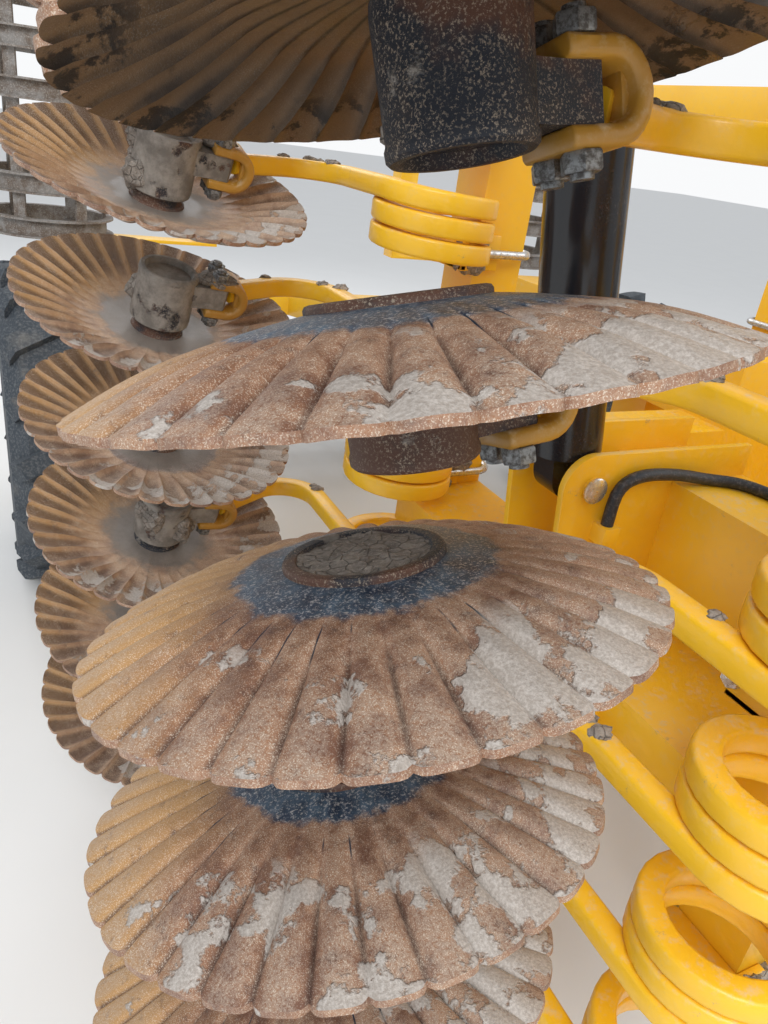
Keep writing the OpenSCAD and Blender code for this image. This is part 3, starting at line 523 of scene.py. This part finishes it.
def dried_mud():
    mat, shader = new_material("dried_mud")
    n = Nodes(mat)
    co = n.coords()
    lumps = n.noise(co, 38.0, 8, 0.7)
    cracks = n.cracks(co, 60.0)
    fine = n.noise(co, 300.0, 4, 0.7)
    col = n.mix(n.ramp(lumps, 0.3, 0.7), MUD_DARK, MUD_LIGHT)
    col = n.mix(n.ramp(cracks, 0.05, 0.0, 0, 0.45), col, MUD_CRACK)
    col = n.mix(n.ramp(fine, 0.52, 0.68, 0, 0.5), col, MUD_GRAIN)
    n.link(col, shader.inputs["Base Color"])
    shader.inputs["Roughness"].default_value = 0.92
    height = n.math("ADD", lumps, n.math("MULTIPLY", n.ramp(cracks, 0.0, 0.06), 0.5))
    n.link(n.bump(fine, 0.4, 0.001, n.bump(height, 0.9, 0.005)), shader.inputs["Normal"])
    return mat


def hub_iron(name, muddy):
    """Blue-black paint over rust with fine pale grains, and dried mud over a part of it."""
    mat, shader = new_material(name)
    n = Nodes(mat)
    co = n.coords()
    zone = n.noise(co, 7.0, 5, 0.6)
    mid = n.noise(co, 22.0, 7, 0.7)
    fine = n.noise(co, 420.0, 4, 0.75)
    col = n.mix(n.ramp(zone, 0.44, 0.56), HUB_BLUE, HUB_RUST)
    col = n.mix(n.ramp(mid, 0.52, 0.68, 0, 0.6), col, HUB_SPOT)
    grains = n.math("MULTIPLY", n.ramp(fine, 0.52, 0.62), n.ramp(mid, 0.34, 0.62, 0.25, 0.9))
    col = n.mix(grains, col, HUB_GRAIN)
    mud = n.ramp(n.math("ADD", n.noise(co, 12.0, 7, 0.65), muddy * 0.22), 0.60, 0.66)
    col = n.mix(mud, col, n.mix(n.ramp(mid, 0.35, 0.65), HUB_MUD_DARK, HUB_MUD))
    n.link(col, shader.inputs["Base Color"])
    n.link(n.math("MAXIMUM", n.ramp(fine, 0.3, 0.7, 0.42, 0.8), n.math("MULTIPLY", mud, 0.9)),
           shader.inputs["Roughness"])
    normal = n.bump(mud, 0.6, 0.003, n.bump(mid, 0.4, 0.003))
    n.link(n.bump(fine, 0.5, 0.001, normal), shader.inputs["Normal"])
    return mat


def bolt_steel():
    mat, shader = new_material("bolt_steel")
    n = Nodes(mat)
    co = n.coords()
    fine = n.noise(co, 160.0, 6, 0.7)
    col = n.mix(n.ramp(fine, 0.4, 0.62), BOLT_LIGHT, BOLT_DARK)
    n.link(col, shader.inputs["Base Color"])
    n.link(n.ramp(fine, 0.3, 0.7, 0.38, 0.7), shader.inputs["Roughness"])
    shader.inputs["Metallic"].default_value = 0.6
    n.link(n.bump(fine, 0.3, 0.001), shader.inputs["Normal"])
    return mat


def silver_steel():
    mat, shader = new_material("silver_steel")
    n = Nodes(mat)
    fine = n.noise(n.coords(), 120.0, 5, 0.65)
    n.link(n.mix(n.ramp(fine, 0.45, 0.7), SILVER, SILVER_DULL), shader.inputs["Base Color"])
    n.link(n.ramp(fine, 0.3, 0.8, 0.22, 0.5), shader.inputs["Roughness"])
    shader.inputs["Metallic"].default_value = 0.85
    return mat


def black_paint():
    mat, shader = new_material("black_paint")
    n = Nodes(mat)
    co = n.coords()
    fine = n.noise(co, 380.0, 4, 0.7)
    broad = n.noise(co, 7.0, 5, 0.6)
    dust = n.math("MULTIPLY", n.ramp(fine, 0.58, 0.68), n.ramp(broad, 0.45, 0.75, 0.0, 0.4))
    n.link(n.mix(dust, BLACK, BLACK_DUST), shader.inputs["Base Color"])
    n.link(n.ramp(broad, 0.3, 0.7, 0.12, 0.24), shader.inputs["Roughness"])
    n.link(n.bump(fine, 0.06, 0.0006), shader.inputs["Normal"])
    return mat


def hose_rubber():
    mat, shader = new_material("hose_rubber")
    n = Nodes(mat)
    fine = n.noise(n.coords(), 150.0, 5, 0.7)
    n.link(n.mix(n.ramp(fine, 0.45, 0.7), HOSE_BLACK, HOSE_GREY), shader.inputs["Base Color"])
    n.link(n.ramp(fine, 0.3, 0.7, 0.35, 0.6), shader.inputs["Roughness"])
    return mat


def tyre_rubber():
    mat, shader = new_material("tyre_rubber")
    n = Nodes(mat)
    co = n.coords()
    fine = n.noise(co, 120.0, 6, 0.72)
    broad = n.noise(co, 6.0, 5)
    col = n.mix(n.ramp(fine, 0.42, 0.68), TYRE_BLACK, TYRE_GREY)
    col = n.mix(n.ramp(broad, 0.55, 0.75, 0, 0.45), col, TYRE_MUD)
    n.link(col, shader.inputs["Base Color"])
    n.link(n.ramp(fine, 0.3, 0.7, 0.6, 0.85), shader.inputs["Roughness"])
    n.link(n.bump(fine, 0.3, 0.002), shader.inputs["Normal"])
    return mat


def roller_steel():
    mat, shader = new_material("roller_steel")
    n = Nodes(mat)
    co = n.coords()
    mid = n.noise(co, 16.0, 8, 0.7)
    fine = n.noise(co, 190.0, 5, 0.7)
    col = n.mix(n.ramp(mid, 0.38, 0.62), ROLLER_GREY, ROLLER_RUST)
    col = n.mix(n.ramp(fine, 0.5, 0.66, 0, 0.6), col, ROLLER_DUST)
    n.link(col, shader.inputs["Base Color"])
    n.link(n.ramp(mid, 0.3, 0.7, 0.6, 0.88), shader.inputs["Roughness"])
    n.link(n.bump(fine, 0.4, 0.002, n.bump(mid, 0.5, 0.005)), shader.inputs["Normal"])
    return mat


def rim_paint():
    mat, shader = new_material("rim_paint")
    n = Nodes(mat)
    co = n.coords()
    fine = n.noise(co, 90.0, 7, 0.72)
    n.link(n.mix(n.ramp(fine, 0.46, 0.7), RIM_PALE, RIM_DIRT), shader.inputs["Base Color"])
    n.link(n.ramp(fine, 0.3, 0.7, 0.35, 0.65), shader.inputs["Roughness"])
    n.link(n.bump(fine, 0.2, 0.002), shader.inputs["Normal"])
    return mat


# Discs

def dish_z(r):
    """Height of the spherical dish over its rim, at a radius."""
    big = (DISC_R ** 2 + DISH ** 2) / (2 * DISH)
    return math.sqrt(big * big - r * r) - (big - DISH)


def smooth(t):
    t = min(1.0, max(0.0, t))
    return t * t * (3 - 2 * t)


def flute(phase):
    """Height of a flute from -1 in its valley to 1 on its ridge; phase runs from valley to valley."""
    p = phase % 1.0
    p = p + 0.06 * math.sin(2 * math.pi * p)
    return 2 * abs(math.sin(math.pi * p)) ** 0.75 - 1


def disc_sheet(convex, inner, per_flute, rings, seed):
    """One face of the fluted sheet, with what its material needs at each point."""
    steps = FLUTES * per_flute
    radii = [inner + (FLUTE_START * DISC_R - inner) * i / 3 for i in range(3)]
    radii += [DISC_R * (FLUTE_START + (1 - FLUTE_START) * (i / rings) ** 0.85)
              for i in range(rings + 1)]
    turn = seed * 0.9
    v, rad, valley, co = [], [], [], []
    for r in radii:
        share = r / DISC_R
        rim_loss = 1 - RIM_LOSS * smooth((share - RIM_START) / (1 - RIM_START))
        depth = FLUTE_DEPTH * smooth((share - FLUTE_START) / FLUTE_RISE) * rim_loss
        notch = smooth((share - NOTCH_START) / (1 - NOTCH_START))
        for s in range(steps):
            a = 2 * math.pi * s / steps
            h = flute(s / per_flute)
            rr = r - NOTCH * (1 - (h + 1) / 2) ** 1.4 * notch
            z = dish_z(rr) + depth * (h - 0.55) - (0 if convex else SHEET)
            v.append((rr * math.cos(a), rr * math.sin(a), z))
            rad.append(share)
            valley.append((1 - h) / 2 if convex else (1 + h) / 2)
            # the pattern's own place: turned and shifted, so that no two discs look the same
            co.append((rr * math.cos(a + turn) + seed * 3.1, rr * math.sin(a + turn) - seed * 1.7,
                       z + seed))
    f = []
    for i in range(len(radii) - 1):
        for s in range(steps):
            t = (s + 1) % steps
            quad = (i * steps + s, (i + 1) * steps + s, (i + 1) * steps + t, i * steps + t)
            f.append(quad if convex else quad[::-1])
    return v, f, dict(rad=rad, valley=valley, disc_co=co)


def disc_shape(build, inside, matrix, seed, per_flute, rings):
    """A fluted disc: both faces of the sheet, and the edge between them."""
    world = matrix @ TILT
    chance = random.Random(int(seed * 9973)).random()
    steps = FLUTES * per_flute
    rims = []
    for side, convex, inner in ((build, True, CAP_R - 0.006), (inside, False, INSIDE_R)):
        v, f, look = disc_sheet(convex, inner, per_flute, rings, seed)
        v = np.asarray(v)
        # painted highlight: a value that rises towards one side of the disc, where the material paints
        # it tan
        gradient = np.clip(0.5 + (0.9 * v[:, 0] - 0.8 * v[:, 1]) / (2 * DISC_R), 0, 1)
        mud_side = np.clip((-0.45 * v[:, 0] + 0.9 * v[:, 1]) / DISC_R, -1, 1)
        side.add(v, f, world, **look, gradient=gradient, mud_side=mud_side,
                 seed=np.full(len(v), chance))
        rims.append(v[-steps:])
    edge = np.concatenate(rims)
    f = [(s, steps + s, steps + (s + 1) % steps, (s + 1) % steps) for s in range(steps)]
    n = len(edge)
    # the edge gets a fixed share of the painted highlight, and as a ridge at the rim it is painted
    # lighter too
    build.add(edge, f, world, rad=np.full(n, 0.98), valley=np.full(n, 0.2), disc_co=edge + seed,
              gradient=np.full(n, 0.62), mud_side=np.zeros(n), seed=np.full(n, chance))


def hub_plate(build, mud, matrix, seed):
    """Bolted plate in the middle of the disc, filled with dried mud, and its rim."""
    low = dish_z(CAP_R) - 0.004
    high = dish_z(CAP_R) + CAP_H
    rim = [(CAP_R, low), (CAP_R, high - 0.004), (CAP_R - 0.002, high - 0.001), (CAP_R - 0.006, high),
           (CAP_R - 0.013, high - 0.0012), (CAP_R - 0.016, high - 0.005)]
    build.add(*revolve(rim, 64), matrix @ TILT)
    fill = [(r, high - 0.0042) for r in (CAP_R - 0.0145, 0.056, 0.044, 0.032, 0.020, 0.009, AXIS)]
    v, f = revolve(fill, 56)
    v = [(x, y, min(z + 0.004 * noise.fractal(Vector((x, y, seed)) * 55, 0.8, 2.0, 4), high + 0.0005))
         for x, y, z in v]
    mud.add(v, f, matrix @ TILT)


def flange(build, matrix):
    """Turned flange between the sheet and the bearing housing."""
    z = dish_z(0.052) - SHEET
    outline = [(0.054, z + 0.003), (0.052, z - 0.004), (0.047, z - 0.006), (0.047, HUB_TOP + 0.004),
               (0.052, HUB_TOP + 0.001), (0.022, HUB_TOP + 0.001)]
    build.add(*revolve(outline, 48), matrix @ TILT)


def make_discs(mats):
    rnd = random.Random(4)
    for row in ROW_Y:
        for section, (_, count, _) in SECTIONS.items():
            for i in range(1, count + 1):
                node = f"disc_{row}_{section}_{i}"
                place = disc_place(row, section, i)
                seed = rnd.random() * 7
                out, inside, plate, mud = Build(), Build(), Build(), Build()
                disc_shape(out, inside, place, seed, *(NEAR_MESH if section == "right" else FAR_MESH))
                hub_plate(plate, mud, place, seed)
                flange(plate, place)
                body = node + "_body"
                face = out.object(node + "_back", mats["disc"])
                back = inside.object(node + "_dish", mats["inside_" + row])
                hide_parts(node)
                for piece in (face, back, plate.object(node + "_plate", mats["hub"], angle=30),
                              mud.object(node + "_mud", mats["mud"])):
                    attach(piece, body)


# Sprung arms

def arm_path():
    """Middle line of the square bar, from the fork through the coil to the tail."""
    low = COIL_Z - COIL_R
    length = (low - FOOT_Z - BEND_R * (1 + math.sin(LEAN))) / math.cos(LEAN)
    by = FOOT_Y - length * math.sin(LEAN) + BEND_R * math.cos(LEAN)
    points = [(ARM_X, FOOT_Y - length * t * math.sin(LEAN), FOOT_Z + length * t * math.cos(LEAN))
              for t in (0, 0.33, 0.66)]
    for i in range(BEND_STEPS + 1):
        a = math.pi + LEAN - (math.pi / 2 + LEAN) * i / BEND_STEPS
        points.append((ARM_X, by + BEND_R * math.cos(a), low - BEND_R + BEND_R * math.sin(a)))
    points += [(ARM_X, by + (COIL_Y - by) * t, low) for t in (0.35, 0.7)]
    for i in range(COIL_STEPS + 1):
        a = -math.pi / 2 + TURNS * 2 * math.pi * i / COIL_STEPS
        x = ARM_X + COIL_PITCH * TURNS * i / COIL_STEPS
        points.append((x, COIL_Y + COIL_R * math.cos(a), COIL_Z + COIL_R * math.sin(a)))
    points += [(TAIL_X, COIL_Y - TAIL * t, COIL_Z + COIL_R) for t in (0.3, 0.6, 1)]
    return points


def hub_housing(build, matrix):
    """Turned housing of the bearing, with a ring and a recess at its closed end."""
    low = HUB_TOP - HUB_L
    outline = [(0.0225, HUB_TOP), (HUB_R - 0.004, HUB_TOP), (HUB_R - 0.001, HUB_TOP - 0.003),
               (HUB_R, HUB_TOP - 0.012), (HUB_R - 0.002, low + 0.014), (HUB_R - 0.0005, low + 0.010),
               (HUB_R - 0.001, low + 0.003), (HUB_R - 0.004, low), (HUB_R - 0.011, low),
               (HUB_R - 0.014, low + 0.004), (HUB_R - 0.015, low + 0.012), (AXIS, low + 0.012)]
    build.add(*revolve(outline, 56), matrix @ TILT)


def lug(build, matrix):
    """Cast lug on the housing's side, which the fork grips."""
    outline = [(-0.122, -0.020), (-0.116, -0.027), (-0.080, -0.028), (-0.046, -0.034), (-0.030, -0.034),
               (-0.030, 0.034), (-0.046, 0.034), (-0.080, 0.028), (-0.116, 0.027), (-0.122, 0.020)]
    v, f = prism(outline, 2 * FORK_HALF)
    v = [(x, y, z + LUG_Z - FORK_HALF) for x, y, z in v]
    build.add(v, f, matrix @ TILT)


def fork(build, matrix):
    """Forged fork at the bar's end: two cheeks joined by a round back."""
    cheek = FORK_HALF + FORK_T / 2
    path = [(-0.080, 0, cheek)]
    path += [(-0.104 - 0.030 * t, 0, cheek) for t in (0, 0.5)]
    for i in range(BEND_STEPS + 1):
        a = math.radians(90 + 180 * i / BEND_STEPS)
        path.append((-0.126 + 0.030 * math.cos(a), 0, cheek * math.sin(a)))
    path += [(-0.104 - 0.030 * t, 0, -cheek) for t in (0.5, 0)]
    path.append((-0.080, 0, -cheek))
    path = [(x, y, z + LUG_Z) for x, y, z in path]
    w, h, cut = FORK_W, FORK_T / 2, 0.004
    profile = [(-w + cut, -h), (w - cut, -h), (w, -h + cut), (w, h - cut),
               (w - cut, h), (-w + cut, h), (-w, h - cut), (-w, -h + cut)]
    build.add(*sweep(path, Vector((0, 1, 0)), profile), matrix @ TILT)
    # neck between the fork's back and the bar
    neck = box_mesh((-0.158, -0.022, LUG_Z - 0.022), (-0.140, 0.022, LUG_Z + 0.022))
    build.add(*neck, matrix @ TILT)


def hex_nut(build, matrix, size):
    """A nut on the XY plane, with the end of its bolt."""
    r, h = size
    nut = [(AXIS, 0), (r * 0.93, 0), (r, h * 0.12), (r, h * 0.88), (r * 0.93, h), (AXIS, h)]
    end = [(AXIS, h), (r * 0.55, h), (r * 0.55, h + 0.005), (AXIS, h + 0.006)]
    build.add(*revolve(nut, 6), matrix)
    build.add(*revolve(end, 20), matrix)


def fork_bolts(build, matrix):
    """Two bolts through the fork and the lug, with a nut on both sides."""
    for y in (-0.019, 0.019):
        for side, turn in ((1, 0), (-1, math.pi)):
            at = Matrix.Translation((-0.098, y, LUG_Z + side * (FORK_HALF + FORK_T)))
            hex_nut(build, matrix @ TILT @ at @ Matrix.Rotation(turn, 4, "X"), FORK_NUT)


def clamp(build, bolts, matrix, with_bolt):
    """Cradle that holds the tail under the beam, with a bent bolt round the beam."""
    low = TAIL_TOP - BAR - CLAMP_T
    left, right = TAIL_X - CLAMP_W / 2, TAIL_X + CLAMP_W / 2
    rear, front = CLAMP_REAR - CLAMP_REACH, CLAMP_FRONT + CLAMP_REACH
    build.add(*box_mesh((left, rear, low), (right, front, low + CLAMP_T)), matrix)
    outline = [(rear, low), (front, low), (front, low + CLAMP_T),
               (CLAMP_FRONT + CLAMP_T, TAIL_TOP), (CLAMP_REAR, TAIL_TOP), (rear, low + CLAMP_T)]
    upright = Matrix(((0, 0, 1, 0), (1, 0, 0, 0), (0, 1, 0, 0), (0, 0, 0, 1)))
    for x in (left, right - CLAMP_SIDE):
        build.add(*prism(outline, CLAMP_SIDE), matrix @ Matrix.Translation((x, 0, 0)) @ upright)
    build.add(*box_mesh((left, CLAMP_FRONT, TAIL_TOP - 0.006),
                        (right, CLAMP_FRONT + CLAMP_T, TAIL_TOP + CLAMP_LIP)), matrix)
    if not with_bolt:
        return
    y0, y1, top = CLAMP_REAR - BOLT_OFF, CLAMP_FRONT + BOLT_OFF, TAIL_TOP + BEAM + BOLT_R
    end = low - 0.016
    path = [(TAIL_X, y1, end)]
    for start, cy in ((0, y1 - BOLT_BEND), (90, y0 + BOLT_BEND)):
        for i in range(7):
            a = math.radians(start + 90 * i / 6)
            y, z = cy + BOLT_BEND * math.cos(a), top - BOLT_BEND + BOLT_BEND * math.sin(a)
            path.append((TAIL_X, y, z))
    path.append((TAIL_X, y0, end))
    angles = [math.radians(30 * i) for i in range(12)]
    circle = [(BOLT_R * math.cos(a), BOLT_R * math.sin(a)) for a in angles]
    bolts.add(*sweep(path, Vector((1, 0, 0)), circle), matrix)
    for y in (y0, y1):
        turn = Matrix.Translation((TAIL_X, y, low)) @ Matrix.Rotation(math.pi, 4, "X")
        hex_nut(bolts, matrix @ turn, CLAMP_NUT)


def bar_mud(build, matrix, path, up, rnd):
    """Small lumps that have dried on the upper side of the bar."""
    for _ in range(4):
        x, y, z = path[rnd.randrange(2, 22)]
        size = rnd.uniform(0.006, 0.013)
        at = (x + up * (BAR / 2 - 0.001), y + rnd.uniform(-0.014, 0.014), z + rnd.uniform(-0.02, 0.02))
        mud_blob(build, matrix, at, (size * 0.7, size * 1.1, size * 1.4), rnd.random() * 9)


def clamp_mud(build, matrix, rnd):
    """Mud packed on the cradle beside the beam's face, and under it."""
    for _ in range(5):
        size = rnd.uniform(0.014, 0.024)
        at = (TAIL_X + rnd.uniform(-0.030, 0.030), CLAMP_FRONT + rnd.uniform(0.008, 0.022),
              TAIL_TOP + rnd.uniform(-0.036, 0.052))
        mud_blob(build, matrix, at, (size, size * 0.75, size * 1.25), rnd.random() * 9)
    for _ in range(2):
        size = rnd.uniform(0.010, 0.016)
        at = (TAIL_X + rnd.uniform(-0.024, 0.024), CLAMP_FRONT + rnd.uniform(0.0, 0.025),
              TAIL_TOP - BAR - CLAMP_T)
        mud_blob(build, matrix, at, (size, size, size * 0.5), rnd.random() * 9)


def hub_mud(build, place, row, rnd):
    """Mud packed round the housing and on the fork, thicker on the rear row."""
    where = place @ TILT
    thick = 1.0 if row == "rear" else 0.45
    for _ in range(5 if row == "rear" else 2):
        a = rnd.uniform(0, 2 * math.pi)
        size = rnd.uniform(0.016, 0.028) * thick
        z = rnd.uniform(HUB_TOP - HUB_L * 0.8, HUB_TOP - 0.02)
        r = HUB_R - size * 0.35
        at = (r * math.cos(a), r * math.sin(a), z)
        mud_blob(build, where, at, (size, size, size * 1.1), rnd.random() * 9)
    if row == "rear":
        at = (-0.095, rnd.uniform(-0.02, 0.02), LUG_Z - 0.036)
        mud_blob(build, where, at, (0.040, 0.026, 0.016), rnd.random() * 9)


def mud_blob(build, matrix, at, size, seed):
    """A lump of dried mud: a rough flattened ball pressed on a surface."""
    ball = bmesh.new()
    bmesh.ops.create_icosphere(ball, subdivisions=3, radius=1.0)
    v = []
    for point in ball.verts:
        q = point.co.copy()
        bump = 1 + 0.35 * noise.fractal(q * 1.6 + Vector((seed, 0, -seed)), 0.9, 2.1, 4)
        v.append([at[k] + q[k] * size[k] * bump for k in range(3)])
    f = [[w.index for w in face.verts] for face in ball.faces]
    ball.free()
    build.add(v, f, matrix)


def make_arms(mats):
    path = arm_path()
    bar = sweep(path, Vector((1, 0, 0)), rounded_square(BAR, 0.006))
    rnd = random.Random(11)
    for row in ROW_Y:
        for section, (_, count, _) in SECTIONS.items():
            node = f"arms_{row}_{section}"
            bars, forks, clamps, hubs, bolts, silver, mud = (Build() for _ in range(7))
            for i in range(1, count + 1):
                place = disc_place(row, section, i)
                bars.add(*bar, place)
                fork(forks, place)
                clamp(clamps, silver, place, section != "centre")
                hub_housing(hubs, place)
                lug(hubs, place)
                fork_bolts(bolts, place)
                if section == "right":
                    hub_mud(mud, place, row, rnd)
                    clamp_mud(mud, place, rnd)
                    bar_mud(mud, place, path, -1 if row == "rear" else 1, rnd)
            main = bars.object(node + "_bars", mats["yellow"], angle=50)
            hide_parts(node)
            hub = mats["far_hub" if row == "rear" else "hub"]
            pieces = [main, forks.object(node + "_forks", mats["fork"], bevel=0.0025, angle=45),
                      hubs.object(node + "_hubs", hub, angle=35),
                      bolts.object(node + "_bolts", mats["bolt"], angle=30),
                      clamps.object(node + "_clamps", mats["yellow"], bevel=0.0025, angle=45)]
            if silver.count:
                pieces.append(silver.object(node + "_round_bolts", mats["silver"], angle=35))
            if mud.count:
                pieces.append(mud.object(node + "_mud", mats["mud"]))
            for piece in pieces:
                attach(piece, body_of_section(section))


# Carried-over solids

def dressed(node, body, mat, bevel, angle=30):
    """A copy of a solid with its edges rounded, in place of the solid."""
    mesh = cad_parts[node].data.copy()
    bm = bmesh.new()
    bm.from_mesh(mesh)
    bmesh.ops.remove_doubles(bm, verts=bm.verts, dist=1e-5)
    bmesh.ops.dissolve_limit(bm, angle_limit=math.radians(0.5), verts=bm.verts, edges=bm.edges)
    bm.to_mesh(mesh)
    bm.free()
    mesh.materials.clear()
    mesh.materials.append(mat)
    obj = bpy.data.objects.new(node + "_look", mesh)
    bpy.context.scene.collection.objects.link(obj)
    finish_surface(obj, bevel, angle)
    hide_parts(node)
    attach(obj, body)


def paint(node, mat):
    """Gives a solid its material."""
    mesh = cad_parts[node].data
    mesh.materials.clear()
    mesh.materials.append(mat)


def pinstripes(mats):
    """The thin black line along the foot and up the front of each side rail."""
    (y0, y1), (z0, z1) = LINE_Y, LINE_Z
    for side, name in ((-1, "left"), (1, "right")):
        build = Build()
        x0, x1 = sorted((side * RAIL_OUT, side * (RAIL_OUT + LINE_T)))
        build.add(*box_mesh((x0, y0, z0), (x1, y1, z0 + LINE_W)))
        build.add(*box_mesh((x0, y1 - LINE_W, z0 + LINE_W), (x1, y1, z1)))
        stripe = build.object("rail_line_" + name, mats["black"], smooth=False)
        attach(stripe, "chassis")


def pin_heads(mats):
    """Bright round heads on the ends of the cylinders' lower pins."""
    outline = [(AXIS, 0), (PIN_R, 0), (PIN_R, 0.003), (PIN_R - 0.003, 0.005), (AXIS, 0.005)]
    for side, name in ((-1, "left"), (1, "right")):
        build = Build()
        for y, turn in ((PIN_ENDS[1], -math.pi / 2), (PIN_ENDS[0], math.pi / 2)):
            place = Matrix.Translation((side * PIN_X, y, PIN_Z)) @ Matrix.Rotation(turn, 4, "X")
            build.add(*revolve(outline, 32), place @ Matrix.Translation((0, 0, -0.004)))
        heads = build.object("pin_heads_" + name, mats["silver"], angle=35)
        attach(heads, "chassis")


def make_frames(mats):
    for node in ("centre_frame", "cylinder_brackets", "rear_frame", "axle", "drawbar"):
        dressed(node, "chassis", mats["yellow"], 0.004)
    for side in ("left", "right"):
        dressed("wing_frame_" + side, "wing_" + side, mats["yellow"], 0.004)
    dressed("hoses", "chassis", mats["hose"], 0, 60)
    pinstripes(mats)
    pin_heads(mats)
    for node, look in (("fold_barrel_", "black"), ("fold_rod_", "silver"), ("wheel_", "rim"),
                       ("tyre_", "tyre"), ("wing_roller_", "roller")):
        for side in ("left", "right"):
            paint(node + side, mats[look])
    paint("centre_roller", mats["roller"])
    paint("towing_eye", mats["black"])
    paint("jack", mats["black"])


# Stage

def make_stage():
    mesh = bpy.data.meshes.new("floor")
    h = FLOOR_HALF
    mesh.from_pydata([(-h, -h, 0), (h, -h, 0), (h, h, 0), (-h, h, 0)], [], [(0, 1, 2, 3)])
    mat, shader = new_material("pale_floor")
    n = Nodes(mat)
    grain = n.noise(n.coords(), 2.0, 3)
    n.link(n.mix(grain, FLOOR_DARK, FLOOR_LIGHT), shader.inputs["Base Color"])
    shader.inputs["Roughness"].default_value = 0.9
    mesh.materials.append(mat)
    floor = bpy.data.objects.new("floor", mesh)
    floor.location.z = -0.0005
    bpy.context.scene.collection.objects.link(floor)


def make_light():
    """Soft lamps, and a world that is paler for the camera than for the object."""
    world = bpy.data.worlds.new("studio")
    bpy.context.scene.world = world
    world.use_nodes = True
    tree = world.node_tree
    tree.nodes.clear()
    out = tree.nodes.new("ShaderNodeOutputWorld")
    mix = tree.nodes.new("ShaderNodeMixShader")
    path = tree.nodes.new("ShaderNodeLightPath")
    tree.links.new(path.outputs["Is Camera Ray"], mix.inputs[0])
    for i, (color, strength) in enumerate(((SKY_LIGHT, WORLD_LIGHT), (SKY_SEEN, WORLD_SEEN)), 1):
        sky = tree.nodes.new("ShaderNodeBackground")
        sky.inputs["Color"].default_value = color
        sky.inputs["Strength"].default_value = strength
        tree.links.new(sky.outputs[0], mix.inputs[i])
    tree.links.new(mix.outputs[0], out.inputs[0])
    for name, (place, power, size) in LAMPS.items():
        data = bpy.data.lights.new(name, "AREA")
        data.energy, data.size = power, size
        obj = bpy.data.objects.new(name, data)
        obj.location = place
        obj.rotation_mode = "QUATERNION"
        obj.rotation_quaternion = (Vector(LAMPS_AIM) - Vector(place)).to_track_quat("-Z", "Y")
        bpy.context.scene.collection.objects.link(obj)


def make_camera():
    data = bpy.data.cameras.new("camera")
    data.lens, data.sensor_width, data.sensor_fit = CAMERA_LENS, 36.0, "AUTO"
    data.clip_start, data.clip_end = 0.02, 200
    obj = bpy.data.objects.new("camera", data)
    back = Vector(CAMERA_BACK).normalized()
    up = back.cross(Vector(CAMERA_RIGHT).normalized()).normalized()
    turn = Matrix((up.cross(back), up, back)).transposed().to_4x4()
    obj.matrix_world = Matrix.Translation(CAMERA_AT) @ turn
    bpy.context.scene.collection.objects.link(obj)
    bpy.context.scene.camera = obj


def main():
    bpy.context.scene.view_settings.view_transform = "Standard"
    mats = {
        "yellow": yellow_paint(),
        "fork": yellow_paint("fork_paint", 1.5, (FORK_WORN, FORK_DARK)),
        "disc": disc_steel("disc_worn", True),
        "inside_rear": disc_steel("disc_inside", False),
        # the front row's inner faces are given painted shade
        "inside_front": disc_steel("disc_inside_shaded", False, 0.25),
        "mud": dried_mud(),
        "hub": hub_iron("hub_iron", 0.0),
        "far_hub": hub_iron("hub_muddy", 1.0),
        "bolt": bolt_steel(),
        "silver": silver_steel(),
        "black": black_paint(),
        "hose": hose_rubber(),
        "tyre": tyre_rubber(),
        "roller": roller_steel(),
        "rim": rim_paint(),
    }
    make_camera()
    make_stage()
    make_light()
    make_discs(mats)
    make_arms(mats)
    make_frames(mats)


main()
